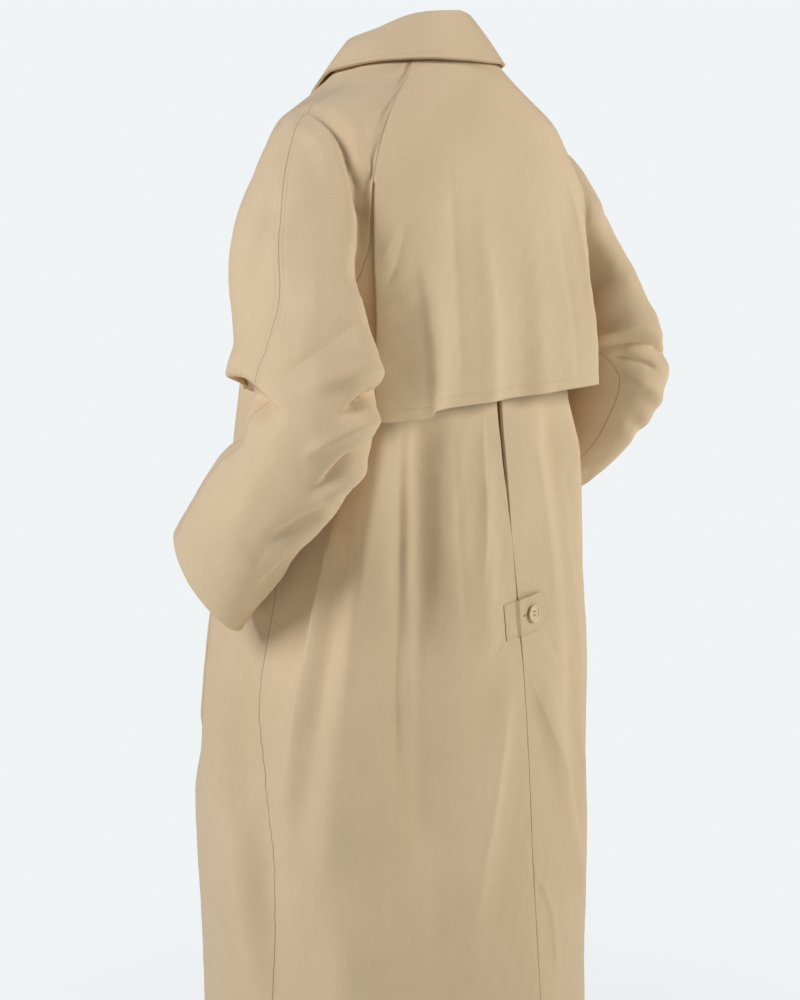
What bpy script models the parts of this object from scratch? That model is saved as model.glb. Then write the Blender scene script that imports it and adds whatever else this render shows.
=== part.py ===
"""A long raglan coat with a turn-down collar, a loose storm cape over the back
and an inverted centre-back pleat that a buttoned tab holds shut. It keeps the
hollow form of a coat that is being worn, with both cuffs at the pockets.

Metres, +Z up. The origin is the middle of the neck opening, level with the
back neck seam. The wearer faces -Y, and the wearer's left is +X.
"""

import math

import bpy
import numpy as np
from mathutils import Matrix, Vector

CLOTH = 0.002            # wall thickness of the shell cloth
DOUBLE_CLOTH = 0.0026    # collar, tab and welts are made up double
SEAM_GAP = 0.0003        # between two pieces at a seam
LAYER_GAP = 0.0006       # between a panel and what lies on it

HEM_Z = -1.18
UNDERARM_Z = -0.27
CAPE_HEM_Z = -0.362
FRONT_NECK_DROP = 0.078
OVERLAP = 0.034          # how far each front runs past the centre
TAB_Z = -0.598

# Heights of the rows between neck and underarm. Body and sleeves share them.
SEAM_HEIGHTS = (0.0, -0.016, -0.038, -0.066, -0.098, -0.130,
                -0.162, -0.192, -0.219, -0.242, -0.260, UNDERARM_Z)
LOWER_ROWS = 16
BACK_COLUMNS = 16
FRONT_COLUMNS = 11
NECK_STEPS = 2           # sleeve columns along each half of its neck edge
ROWS_A_SECTION = (2, 2, 2, 2, 2, 2, 2, 2, 2, 1, 2)

# Rings of the body at their heights. half_width is along X, back, middle and
# front are along Y, and the last two are superellipse exponents, before and
# behind the middle.
BODY_COLUMNS = ("z", "half_width", "back", "middle", "front", "square_back", "square_front")
BODY_RINGS = (
    (0.010, 0.066, 0.056, 0.000, -0.060, 2.0, 2.0),
    (0.000, 0.072, 0.070, 0.000, -0.066, 2.0, 2.0),
    (-0.012, 0.080, 0.090, 0.000, -0.070, 2.0, 2.0),
    (-0.028, 0.094, 0.104, 0.000, -0.072, 2.1, 2.0),
    (-0.050, 0.133, 0.111, 0.000, -0.081, 2.4, 2.1),
    (-0.070, 0.169, 0.115, 0.000, -0.088, 2.7, 2.2),
    (-0.100, 0.191, 0.119, 0.000, -0.096, 3.1, 2.3),
    (-0.155, 0.206, 0.123, 0.000, -0.107, 4.0, 2.5),
    (-0.210, 0.206, 0.125, 0.000, -0.117, 4.4, 2.7),
    (-0.270, 0.187, 0.125, 0.000, -0.128, 4.2, 3.0),
    (-0.360, 0.185, 0.126, -0.003, -0.146, 4.0, 3.2),
    (-0.500, 0.189, 0.143, -0.010, -0.172, 4.0, 3.4),
    (-0.600, 0.202, 0.157, -0.015, -0.188, 3.4, 3.2),
    (-0.720, 0.234, 0.168, -0.020, -0.197, 2.6, 2.6),
    (-0.850, 0.241, 0.179, -0.020, -0.206, 2.4, 2.4),
    (-1.000, 0.238, 0.191, -0.020, -0.213, 2.2, 2.2),
    (-1.200, 0.235, 0.206, -0.020, -0.221, 2.1, 2.1),
)

# The raglan seams run from the neck to the underarm, at these degrees round
# from the centre back. shoulder_turn is where a thread of the sleeve that
# starts there crosses the shoulder's section, in degrees down from its top.
SEAM_COLUMNS = ("z", "back_angle", "front_angle", "shoulder_turn")
RAGLAN_SEAM = (
    (0.000, 46.0, 128.0, 24.0),
    (-0.025, 49.0, 128.0, 33.0),
    (-0.055, 54.5, 127.0, 46.0),
    (-0.090, 58.0, 125.0, 64.0),
    (-0.130, 59.7, 122.0, 85.0),
    (-0.170, 60.0, 119.5, 103.0),
    (-0.208, 61.0, 117.5, 119.0),
    (-0.245, 69.0, 109.0, 140.0),
    (UNDERARM_Z, 90.0, 90.0, 180.0),
)

# How far the cape stands off the back, and the angle of its edges.
CAPE_COLUMNS = ("z", "off_middle", "off_left", "off_right", "edge_angle")
CAPE_RINGS = (
    (0.000, 0.0034, 0.0032, 0.0032, 46.0),
    (-0.120, 0.0034, 0.0032, 0.0032, 59.5),
    (-0.155, 0.0035, 0.0034, 0.0035, 59.6),
    (-0.210, 0.0044, 0.0050, 0.0080, 60.0),
    (-0.270, 0.0090, 0.0130, 0.0240, 61.0),
    (CAPE_HEM_Z, 0.0120, 0.0200, 0.0350, 60.5),
)

# Soft ridges of the cape, deepest at its hem.
CAPE_FOLD_COLUMNS = ("angle", "half_width", "height")
CAPE_FOLDS = (
    (45.0, 7.0, 0.010),
    (14.0, 9.0, 0.006),
    (-22.0, 8.0, 0.005),
    (-53.0, 5.0, 0.006),
)

# Broad folds of the body. Each is a soft ridge (positive) or trough at an
# angle, fading in below its top and out at its foot, and drifting as it falls.
FOLD_COLUMNS = ("angle", "half_width", "height", "top", "foot", "drift")
BODY_FOLDS = (
    (57.0, 6.0, 0.0110, -0.33, -0.90, 18.0),
    (67.0, 4.5, 0.0130, -0.43, -0.86, 28.0),
    (42.5, 7.0, -0.0130, -0.32, -0.92, -4.0),
    (13.0, 6.0, 0.0050, -0.38, -0.68, 25.0),
    (103.0, 6.0, 0.0120, -0.66, -1.25, -50.0),
    (84.0, 6.0, -0.0090, -0.76, -1.45, 4.0),
    (8.0, 6.0, 0.0060, -0.62, -1.05, 70.0),
    (62.0, 9.0, 0.0120, -0.84, -1.50, -6.0),
    (34.0, 8.0, -0.0090, -0.84, -1.50, 0.0),
    (128.0, 8.0, 0.0110, -0.74, -1.50, 4.0),
    (152.0, 9.0, -0.0090, -0.36, -1.50, -2.0),
    (-8.0, 6.0, 0.0070, -0.64, -1.05, -80.0),
    (-38.0, 8.0, -0.0120, -0.34, -0.95, 6.0),
    (-54.0, 6.0, 0.0120, -0.36, -0.95, -20.0),
    (-70.0, 5.0, 0.0110, -0.44, -0.86, -24.0),
    (-84.0, 6.0, -0.0090, -0.78, -1.45, -4.0),
    (-62.0, 9.0, 0.0120, -0.84, -1.50, 4.0),
    (-101.0, 6.0, 0.0110, -0.68, -1.25, 46.0),
    (-126.0, 8.0, 0.0100, -0.74, -1.50, -6.0),
    (-150.0, 9.0, -0.0090, -0.36, -1.50, 4.0),
)

# The side seams, in degrees round from the centre back.
SIDE_COLUMNS = ("z", "angle")
SIDE_SEAM = (
    (UNDERARM_Z, 90.0),
    (-0.450, 90.0),
    (-0.570, 92.0),
    (-0.660, 91.0),
    (-0.740, 84.5),
    (-0.850, 83.0),
    (-1.180, 84.0),
)

# The collar from centre back to centre front: where it folds above the neck
# seam, and the point of the body its outer edge stands over.
COLLAR_COLUMNS = ("angle", "fold_rise", "fold_in", "edge_angle", "edge_z", "edge_off")
COLLAR_RINGS = (
    (0.0, 0.033, 0.008, 0.0, -0.021, 0.0095),
    (45.0, 0.030, 0.011, 45.0, -0.022, 0.0095),
    (90.0, 0.020, 0.009, 90.0, -0.030, 0.0110),
    (128.0, 0.013, 0.006, 127.0, -0.048, 0.0105),
    (155.0, 0.011, 0.006, 146.0, -0.086, 0.0110),
    (180.0, 0.011, 0.005, 157.0, -0.132, 0.0125),
)
COLLAR_ROLL = 0.0052     # radius of the collar's fold, at its upper face

# Pocket welts on the left front, from the top end to the lower end.
WELT_COLUMNS = ("z", "angle")
WELT_LINE = ((-0.570, 137.0), (-0.650, 130.0), (-0.725, 121.0))
WELT_HALF_WIDTH = 0.017

TAB_LEFT, TAB_RIGHT = 0.023, -0.041
TAB_HALF_HEIGHT = 0.0195
TAB_TILT = 0.17          # the free end hangs lower
BUTTON_X = -0.0180
BUTTON_RADIUS = 0.0093
BUTTON_THICKNESS = 0.0028
BUTTON_RIM = 0.0018
HOLE_RADIUS = 0.0010
HOLE_OFFSET = 0.0021

# Sections of the left sleeve. heading is where the sleeve runs and outward is
# the section's outer axis. The four reaches run from the middle to the wall,
# and turn is where the overarm seam sits, in degrees from outward to behind.
SLEEVE_COLUMNS = ("middle", "heading", "outward", "out", "inner", "back", "front", "turn")
SLEEVE_SECTIONS = (
    ((0.193, 0.014, -0.168), (1.0, 0.0, 0.1), (-0.1, 0.0, 1.0), 0.098, 0.099, 0.090, 0.062, 0.0),
    ((0.242, 0.044, -0.222), (0.78, 0.2, -0.59), (0.6, 0.0, 0.8), 0.054, 0.058, 0.083, 0.060, 12.0),
    ((0.252, 0.070, -0.270), (0.19, 0.39, -0.90), (0.96, 0.0, 0.28), 0.052, 0.048, 0.076, 0.066, 20.0),
    ((0.257, 0.094, -0.312), (0.16, 0.28, -0.95), (0.98, 0.0, 0.2), 0.054, 0.052, 0.070, 0.087, 2.0),
    ((0.262, 0.106, -0.348), (0.05, -0.15, -0.98), (1.0, 0.0, 0.1), 0.056, 0.052, 0.064, 0.075, -18.0),
    ((0.261, 0.085, -0.393), (0.0, -0.50, -0.86), (1.0, 0.0, 0.0), 0.056, 0.050, 0.066, 0.052, -30.0),
    ((0.258, 0.042, -0.437), (-0.06, -0.70, -0.70), (1.0, 0.0, 0.0), 0.054, 0.048, 0.066, 0.056, -42.0),
    ((0.253, -0.001, -0.478), (-0.08, -0.72, -0.69), (1.0, 0.0, 0.0), 0.051, 0.046, 0.065, 0.060, -48.0),
    ((0.246, -0.042, -0.517), (-0.10, -0.82, -0.52), (1.0, 0.0, -0.1), 0.046, 0.042, 0.066, 0.064, -52.0),
    ((0.240, -0.078, -0.550), (-0.10, -0.93, -0.30), (1.0, 0.0, -0.3), 0.040, 0.036, 0.071, 0.066, -55.0),
)

CROOK_ROW = 12.0         # the sleeve row at the bend of the elbow
CROOK_FOLD = 0.0028

CLOTH_COLOUR = (0.62, 0.49, 0.33)
BUTTON_COLOUR = (0.66, 0.50, 0.28)


def smoothstep(x):
    x = np.clip(x, 0.0, 1.0)
    return x * x * (3.0 - 2.0 * x)


def smooth_curve(knots, values, at):
    """A smooth curve through values, each knot's slope taken from its neighbours."""
    order = np.argsort(knots)
    knots = np.asarray(knots, float)[order]
    values = np.asarray(values, float)[order]
    steps = np.diff(knots)
    rises = np.diff(values) / steps
    slopes = np.empty_like(values)
    slopes[0], slopes[-1] = rises[0], rises[-1]
    slopes[1:-1] = (rises[:-1] * steps[1:] + rises[1:] * steps[:-1]) / (steps[:-1] + steps[1:])
    at = np.clip(at, knots[0], knots[-1])
    cell = np.clip(np.searchsorted(knots, at) - 1, 0, len(steps) - 1)
    width = steps[cell]
    t = (at - knots[cell]) / width
    return (
        (1 + 2 * t) * (1 - t) ** 2 * values[cell]
        + t * (1 - t) ** 2 * width * slopes[cell]
        + t * t * (3 - 2 * t) * values[cell + 1]
        + t * t * (t - 1) * width * slopes[cell + 1]
    )


def column(table, names, name, at):
    rows = np.array(table, float)
    return smooth_curve(rows[:, 0], rows[:, names.index(name)], at)


def body_folds(angle, z):
    """How far the folds move the body's wall outward."""
    total = np.zeros_like(z)
    for middle, half_width, height, top, foot, drift in BODY_FOLDS:
        fade = smoothstep((top - z) / 0.09) * smoothstep((z - foot) / 0.14)
        middle = middle + drift * (top - z)
        total = total + height * fade * np.exp(-((angle - middle) / half_width) ** 2)
    return total


def plain_body_point(angle, z):
    """The point at signed degrees round from the centre back, without folds."""
    angle, z = np.broadcast_arrays(np.asarray(angle, float), np.asarray(z, float))
    half_width, back, middle, front, square_back, square_front = (
        column(BODY_RINGS, BODY_COLUMNS, name, z) for name in BODY_COLUMNS[1:]
    )
    turn = np.radians(angle)
    depth = np.where(np.cos(turn) >= 0.0, back - middle, middle - front)
    squareness = np.where(np.cos(turn) >= 0.0, square_back, square_front)
    side = np.abs(np.sin(turn)) / half_width
    ahead = np.abs(np.cos(turn)) / depth
    radius = (side ** squareness + ahead ** squareness) ** (-1.0 / squareness)
    return np.stack([radius * np.sin(turn), middle + radius * np.cos(turn), z], axis=-1)


def surface_normal(surface, a, b, step_a, step_b):
    """Outward unit normals of a surface whose angle grows anticlockwise from above."""
    across = surface(a + step_a, b) - surface(a - step_a, b)
    down = surface(a, b - step_b) - surface(a, b + step_b)
    normal = np.cross(across, down)
    return normal / np.linalg.norm(normal, axis=-1, keepdims=True)


def plain_body_normal(angle, z):
    angle, z = np.broadcast_arrays(np.asarray(angle, float), np.asarray(z, float))
    return surface_normal(plain_body_point, angle, z, 0.3, 0.0008)


def body_point(angle, z, off=0.0):
    """The body's wall with its folds, moved out by off."""
    angle, z = np.broadcast_arrays(np.asarray(angle, float), np.asarray(z, float))
    out = body_folds(angle, z) + off
    return plain_body_point(angle, z) + plain_body_normal(angle, z) * out[..., None]


def body_normal(angle, z):
    angle, z = np.broadcast_arrays(np.asarray(angle, float), np.asarray(z, float))
    return surface_normal(body_point, angle, z, 0.3, 0.0008)


def seam_angle(z, where):
    z = np.maximum(z, UNDERARM_Z)
    return column(RAGLAN_SEAM, SEAM_COLUMNS, where, z)


def side_angle(z):
    return column(SIDE_SEAM, SIDE_COLUMNS, "angle", z)


def neck_height(angle):
    """Height of the neck seam, which drops towards the centre front."""
    t = np.clip((np.abs(angle) - 128.0) / 52.0, 0.0, 1.0)
    return -FRONT_NECK_DROP * smoothstep(t)


def lower_heights():
    t = np.linspace(0.0, 1.0, LOWER_ROWS + 1)[1:]
    return UNDERARM_Z + (HEM_Z - UNDERARM_Z) * (0.85 * t + 0.15 * t * t)


def grid_normals(points):
    """Unit normals of a grid of points, from differences along both ways."""
    along = np.gradient(points, axis=0)
    across = np.gradient(points, axis=1)
    normal = np.cross(across, along)
    return normal / np.maximum(np.linalg.norm(normal, axis=-1, keepdims=True), 1e-12)


def new_object(name, verts, faces, colour, roughness=0.85):
    mesh = bpy.data.meshes.new(name)
    mesh.from_pydata([tuple(v) for v in np.asarray(verts)], [], [tuple(f) for f in faces])
    mesh.update()
    obj = bpy.data.objects.new(name, mesh)
    bpy.context.scene.collection.objects.link(obj)
    material = bpy.data.materials.new(name)
    material.use_nodes = True
    shader = material.node_tree.nodes["Principled BSDF"]
    shader.inputs["Base Color"].default_value = (*colour, 1.0)
    shader.inputs["Roughness"].default_value = roughness
    mesh.materials.append(material)
    mesh.shade_smooth()
    mesh.set_sharp_from_angle(angle=math.radians(40.0))
    return obj


def wall(name, outer, normals, thickness=CLOTH, colour=CLOTH_COLOUR):
    """A closed wall from a grid of outer points, with its inner face along the normals."""
    rows, columns = outer.shape[:2]
    inner = outer - normals * thickness
    verts = np.concatenate([outer.reshape(-1, 3), inner.reshape(-1, 3)])
    half = rows * columns
    faces = []

    def quad(a, b, c, d):
        faces.append((a, b, c))
        faces.append((a, c, d))

    for r in range(rows - 1):
        for c in range(columns - 1):
            a, b = r * columns + c, r * columns + c + 1
            d, e = a + columns, b + columns
            quad(a, b, e, d)
            quad(half + a, half + d, half + e, half + b)
    for r in range(rows - 1):
        left, below = r * columns, (r + 1) * columns
        right, under = left + columns - 1, below + columns - 1
        quad(left, below, half + below, half + left)
        quad(right, half + right, half + under, under)
    last = (rows - 1) * columns
    for c in range(columns - 1):
        quad(c, half + c, half + c + 1, c + 1)
        quad(last + c, last + c + 1, half + last + c + 1, half + last + c)
    grid_normal = np.cross(outer[0, 1] - outer[0, 0], outer[1, 0] - outer[0, 0])
    if np.dot(grid_normal, normals[0, 0]) < 0.0:
        faces = [face[::-1] for face in faces]
    return new_object(name, verts, faces, colour)


def panel_heights():
    return np.concatenate([SEAM_HEIGHTS, lower_heights()])


def fold_edge_in(points, normals, angle_sign):
    """Turn the centre-back edge of a grid inward, so the pleat's edge is a soft fold."""
    across = np.stack([-np.ones_like(points[:, 0, 0]), 0 * points[:, 0, 0], 0 * points[:, 0, 0]], axis=-1)
    across = across * angle_sign
    first, facing = points[:, :1], normals[:, :1]
    curl = smoothstep((-0.05 - points[:, :1, 2:]) / 0.08)
    near = first - facing * 0.0010 * curl + across[:, None] * (0.0008 + 0.0004 * curl)
    far = first - facing * 0.0034 * curl + across[:, None] * 0.0014
    near_facing = facing * (1.0 - 0.4 * curl) + across[:, None] * 0.8 * curl
    far_facing = facing * (1.0 - 0.95 * curl) + across[:, None] * curl
    points = np.concatenate([far, near, points], axis=1)
    normals = np.concatenate([far_facing, near_facing, normals], axis=1)
    return points, normals / np.linalg.norm(normals, axis=-1, keepdims=True)


def pleat_gap(z):
    """Half of the opening at the centre back, from seam above to parted folds below."""
    opening = smoothstep((-0.31 - z) / 0.06) * (1.0 - smoothstep((-0.42 - z) / 0.10))
    below = smoothstep((-0.31 - z) / 0.06)
    return SEAM_GAP / 2 + 0.0022 * opening + 0.0004 * below


def left_edge_rise(angle, z):
    """The left fold of the pleat stands proud of the right one."""
    away = np.radians(np.abs(angle)) * 0.16 / 0.026
    return 0.0026 * smoothstep((-0.34 - z) / 0.08) * np.exp(-away ** 2) * (angle > 0)


def back_panel(name, side):
    z = panel_heights()[:, None]
    edge = np.where(z >= UNDERARM_Z, seam_angle(z, "back_angle"), side_angle(z))
    inset = np.degrees(SEAM_GAP * 0.6 / 0.16)
    reach = np.linalg.norm(plain_body_point(0.0, z)[..., :2], axis=-1)
    start = np.degrees((pleat_gap(z) + 0.0016) / reach)
    t = np.linspace(0.0, 1.0, BACK_COLUMNS + 1)[None, :]
    angle = side * (start + (edge - inset - start) * t)
    z = np.broadcast_to(z, angle.shape).copy()
    points = body_point(angle, z, left_edge_rise(angle, z))
    normals = body_normal(angle, z)
    points, normals = fold_edge_in(points, normals, side)
    return wall(name, points, normals)


def front_panel(name, side):
    rows = panel_heights()[:, None]
    edge = np.where(rows >= UNDERARM_Z, seam_angle(rows, "front_angle"), side_angle(rows))
    inset = np.degrees(SEAM_GAP * 0.6 / 0.16)
    t = np.linspace(0.0, 1.0, FRONT_COLUMNS + 1)[None, :]
    reach = np.abs(plain_body_point(180.0, rows - FRONT_NECK_DROP)[..., 1])
    past = np.degrees(np.arcsin(OVERLAP / reach))
    angle = edge + inset + (180.0 + past - edge - inset) * t
    fall = np.clip((rows - UNDERARM_Z) / (0.0 - UNDERARM_Z), 0.0, 1.0)
    spread = (angle - edge) / (180.0 - edge)
    z = rows + fall * neck_height(128.0 + 52.0 * np.clip(spread, 0.0, 1.0))
    from_middle = np.radians(180.0 - angle) * reach
    over = smoothstep((OVERLAP + 0.035 - from_middle) / 0.032)
    rise = (CLOTH + 2.5 * LAYER_GAP) * over * (side < 0)
    points = body_point(side * angle, z, rise)
    return wall(name, points, body_normal(side * angle, z))


def cape_off(t, z):
    """How far the cape's outer face is from the back, for t from -1 (right) to 1 (left)."""
    middle = column(CAPE_RINGS, CAPE_COLUMNS, "off_middle", z)
    left = column(CAPE_RINGS, CAPE_COLUMNS, "off_left", z)
    right = column(CAPE_RINGS, CAPE_COLUMNS, "off_right", z)
    return middle + (np.where(t > 0.0, left, right) - middle) * t * t


def cape():
    heights = np.concatenate([SEAM_HEIGHTS, np.linspace(UNDERARM_Z, CAPE_HEM_Z, 6)[1:]])
    z = heights[:, None]
    edge = column(CAPE_RINGS, CAPE_COLUMNS, "edge_angle", z)
    edge = np.where(z > -0.14, seam_angle(z, "back_angle"), np.minimum(edge, 59.4 + 0 * z))
    inset = np.degrees(SEAM_GAP * 0.6 / 0.16)
    t = np.linspace(-1.0, 1.0, 23)[None, :]
    angle = (edge - inset) * t
    z = np.broadcast_to(z, angle.shape)
    off = cape_off(t, z)
    for middle, width, height in CAPE_FOLDS:
        ridge = height * np.exp(-((angle - middle) / width) ** 2)
        off = off + ridge * smoothstep((-0.12 - z) / 0.2)
    return wall("cape", body_point(angle, z, off), body_normal(angle, z))


def sleeve_columns():
    """Where each sleeve column starts: the angle and height on the body's ring."""
    heights = np.array(SEAM_HEIGHTS)
    back = seam_angle(heights, "back_angle")
    front = seam_angle(heights, "front_angle")
    steps = np.linspace(0.0, 1.0, NECK_STEPS + 1)[:-1]
    back_angle = np.concatenate([90.0 + (back[0] - 90.0) * steps, back])
    front_angle = np.concatenate([90.0 + (front[0] - 90.0) * steps, front])
    shoulder = seam_angle(heights, "shoulder_turn")
    shoulder = np.concatenate([shoulder[0] * steps, shoulder])
    return back_angle, front_angle, np.concatenate([0 * steps, heights]), shoulder


def section_rings(shoulder, back_side):
    """Points of every sleeve section, for the back or the front half of it."""
    rings = []
    even = np.linspace(0.0, 180.0, len(shoulder))
    for k, (middle, heading, top, out, inner, back, front, turn) in enumerate(SLEEVE_SECTIONS):
        middle, heading, top = np.array(middle), np.array(heading), np.array(top)
        heading = heading / np.linalg.norm(heading)
        top = top - heading * np.dot(top, heading)
        top = top / np.linalg.norm(top)
        behind = np.cross(top, heading)
        around = even + (shoulder - even) * max(0.0, 1.0 - k / 3.0)
        around = np.radians(turn + around * (1.0 if back_side else -1.0))
        up = np.cos(around) * np.where(np.cos(around) > 0.0, out, inner)
        aside = np.sin(around) * np.where(np.sin(around) > 0.0, back, front)
        rings.append(middle + up[:, None] * top + aside[:, None] * behind)
    return np.array(rings)


def sleeve_surface(back_side):
    """Left sleeve half: rows run from the neck and raglan seam down to the cuff."""
    back_angle, front_angle, z, shoulder = sleeve_columns()
    angle = back_angle if back_side else front_angle
    facing = plain_body_normal(angle, z)
    lift = np.zeros_like(z)
    if back_side:
        lift = 0.0012 * smoothstep((z + 0.27) / 0.06)
    start = body_point(angle, z, lift)
    rings = section_rings(shoulder, back_side)
    under = smoothstep((-0.200 - z) / 0.050)[:, None]
    first = rings[0]
    first_angle = np.degrees(np.arctan2(first[:, 0], first[:, 1]))
    half_way = body_point((angle + first_angle) / 2.0, (z + first[:, 2]) / 2.0, lift / 2.0)
    half_way = half_way * (1.0 - under) + (start + first) / 2.0 * under
    chord = half_way - start
    chord = chord - facing * np.sum(chord * facing, axis=-1, keepdims=True) * (1.0 - under)
    chord = chord / np.linalg.norm(chord, axis=-1, keepdims=True)
    facing = facing * (1.0 - under) + np.array([0.0, 0.0, -1.0]) * under
    facing = facing - chord * np.sum(chord * facing, axis=-1, keepdims=True)
    facing = facing / np.linalg.norm(facing, axis=-1, keepdims=True)
    start = start + chord * SEAM_GAP * 0.6
    rings = np.concatenate([start[None], half_way[None], rings])
    spans = np.linalg.norm(np.diff(rings, axis=0), axis=-1, keepdims=True)
    spans = np.maximum(spans, 0.004)
    rises = np.diff(rings, axis=0) / spans
    slopes = np.empty_like(rings)
    slopes[0], slopes[-1] = chord, rises[-1]
    slopes[1:-1] = (rises[:-1] * spans[1:] + rises[1:] * spans[:-1]) / (spans[:-1] + spans[1:])
    rows = [rings[0]]
    for k, steps in enumerate(ROWS_A_SECTION):
        for t in np.linspace(0.0, 1.0, steps + 1)[1:]:
            rows.append(
                (1 + 2 * t) * (1 - t) ** 2 * rings[k]
                + t * (1 - t) ** 2 * spans[k] * slopes[k]
                + t * t * (3 - 2 * t) * rings[k + 1]
                + t * t * (t - 1) * spans[k] * slopes[k + 1]
            )
    return crook_folds(np.array(rows)), facing


def crook_folds(points):
    """The cloth of the sleeve buckles in short folds around the bent elbow."""
    row = np.arange(len(points))[:, None]
    across = np.linspace(0.0, 1.0, points.shape[1])[None, :]
    near = np.exp(-((row - CROOK_ROW) / 3.5) ** 2) * np.sin(math.pi * across) ** 2
    swing = np.where(row % 2 == 0, 1.0, -1.0)
    return points + grid_normals(points) * (CROOK_FOLD * near * swing)[..., None]


def sleeve_half(name, side, back_side):
    points, facing = sleeve_surface(back_side)
    other, _ = sleeve_surface(not back_side)
    whole = np.concatenate([other[:, 1:2], points, other[:, -2:-1]], axis=1)
    normals = grid_normals(whole)[:, 1:-1]
    if np.mean(np.sum(normals[0] * facing, axis=-1)) < 0.0:
        normals = -normals
    normals[0] = facing
    tangent = np.gradient(points, axis=1)
    tangent = tangent / np.maximum(np.linalg.norm(tangent, axis=-1, keepdims=True), 1e-9)
    points[:, 0] += tangent[:, 0] * SEAM_GAP / 2
    points[:, -1] -= tangent[:, -1] * SEAM_GAP / 2
    mirror = np.array([side, 1.0, 1.0])
    return wall(name, points * mirror, normals * mirror)


def underlay():
    """The inner depth of the pleat, seen only where the two back panels part."""
    z = np.linspace(-0.335, HEM_Z + 0.004, 17)[:, None]
    t = np.linspace(-1.0, 1.0, 7)[None, :]
    reach = np.linalg.norm(plain_body_point(0.0, z)[..., :2], axis=-1)
    angle = np.degrees(0.050 * t / reach)
    z = np.broadcast_to(z, angle.shape)
    off = -(CLOTH + 0.0016 + 0.0036 * (1.0 - t ** 4))
    return wall("pleat_underlay", body_point(angle, z, off), body_normal(angle, z))


def collar_frame(angle):
    """Neck seam, fold and outer edge of the collar at signed degrees from the back."""
    size = np.abs(angle)
    rise, inward, edge_angle, edge_z, edge_off = (
        column(COLLAR_RINGS, COLLAR_COLUMNS, name, size) for name in COLLAR_COLUMNS[1:]
    )
    seam = plain_body_point(angle, neck_height(angle))
    outward = np.stack([np.sin(np.radians(angle)), np.cos(np.radians(angle)), 0 * angle], axis=-1)
    up = np.array([0.0, 0.0, 1.0])
    fold = seam - outward * inward[..., None] + up * rise[..., None]
    sign = np.where(angle < 0.0, -1.0, 1.0)
    edge = body_point(sign * edge_angle, edge_z, edge_off)
    return seam, fold, edge, outward


def collar_angles():
    end = 180.0 - np.degrees(0.0012 / 0.095)
    front = np.linspace(128.0, end, 9)
    return np.concatenate([-front[::-1], np.linspace(-128.0, 128.0, 15)[1:-1], front])


def collar_stand():
    angle = collar_angles()
    seam, fold, _, outward = collar_frame(angle)
    up = np.array([0.0, 0.0, 1.0])
    lift = SEAM_GAP + 0.0003 + 0.0006 * smoothstep((np.abs(angle) - 150.0) / 20.0)
    foot = seam + up * lift[:, None] - outward * 0.0010
    head = fold + outward * DOUBLE_CLOTH - up * 0.0005
    rows = [foot + (head - foot) * t - outward * 0.0012 * math.sin(math.pi * t)
            for t in np.linspace(1.0, 0.0, 4)]
    points = np.array(rows)
    normals = np.broadcast_to(outward, points.shape)
    return wall("collar_stand", points, normals, DOUBLE_CLOTH)


def collar():
    angle = collar_angles()
    _, fold, edge, outward = collar_frame(angle)
    up = np.array([0.0, 0.0, 1.0])
    rows, roll_normals = [], []
    for turn in (0.0, 45.0, 90.0, 130.0):
        turn = math.radians(turn)
        roll_normals.append(up * math.sin(turn) - outward * math.cos(turn))
        rows.append(fold + outward * COLLAR_ROLL + roll_normals[-1] * COLLAR_ROLL)
    start = rows[-1]
    for t in np.linspace(0.0, 1.0, 6)[1:]:
        bulge = 0.005 * math.sin(math.pi * t) * (1.0 - 0.5 * t)
        rows.append(start + (edge - start) * t + (outward * 0.75 + up * 0.65) * bulge)
    points = np.array(rows)
    normals = grid_normals(points)
    if np.mean(normals[2, :, 2]) < 0.0:
        normals = -normals
    normals[:3] = roll_normals[:3]
    return wall("collar", points, normals, DOUBLE_CLOTH)


def back_spot(x, z, off):
    """A point near the centre back by its distance across, moved out by off."""
    reach = np.linalg.norm(plain_body_point(0.0, z)[..., :2], axis=-1)
    angle = np.degrees(x / reach)
    return body_point(angle, z, off), body_normal(angle, z)


def tab_rise(x):
    return LAYER_GAP + DOUBLE_CLOTH + 0.0026 * np.exp(-(x / 0.026) ** 2)


def tab():
    end = 0.012 / (TAB_LEFT - TAB_RIGHT)
    along = np.concatenate([np.linspace(0.0, 1.0 - end, 7), 1.0 - end + end * np.array([0.5, 0.8, 1.0])])
    corner = np.clip((along - 1.0 + end) / end, 0.0, 1.0)
    height = TAB_HALF_HEIGHT - 0.012 * (1.0 - np.sqrt(1.0 - 0.97 * corner ** 2))
    x = (TAB_LEFT + (TAB_RIGHT - TAB_LEFT) * along)[:, None]
    across = np.linspace(-1.0, 1.0, 6)[None, :]
    z = TAB_Z + TAB_TILT * (x - BUTTON_X) + across * height[:, None]
    x = np.broadcast_to(x, z.shape)
    points, normals = back_spot(x, z, tab_rise(x))
    return wall("tab", points, normals, DOUBLE_CLOTH)


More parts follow.
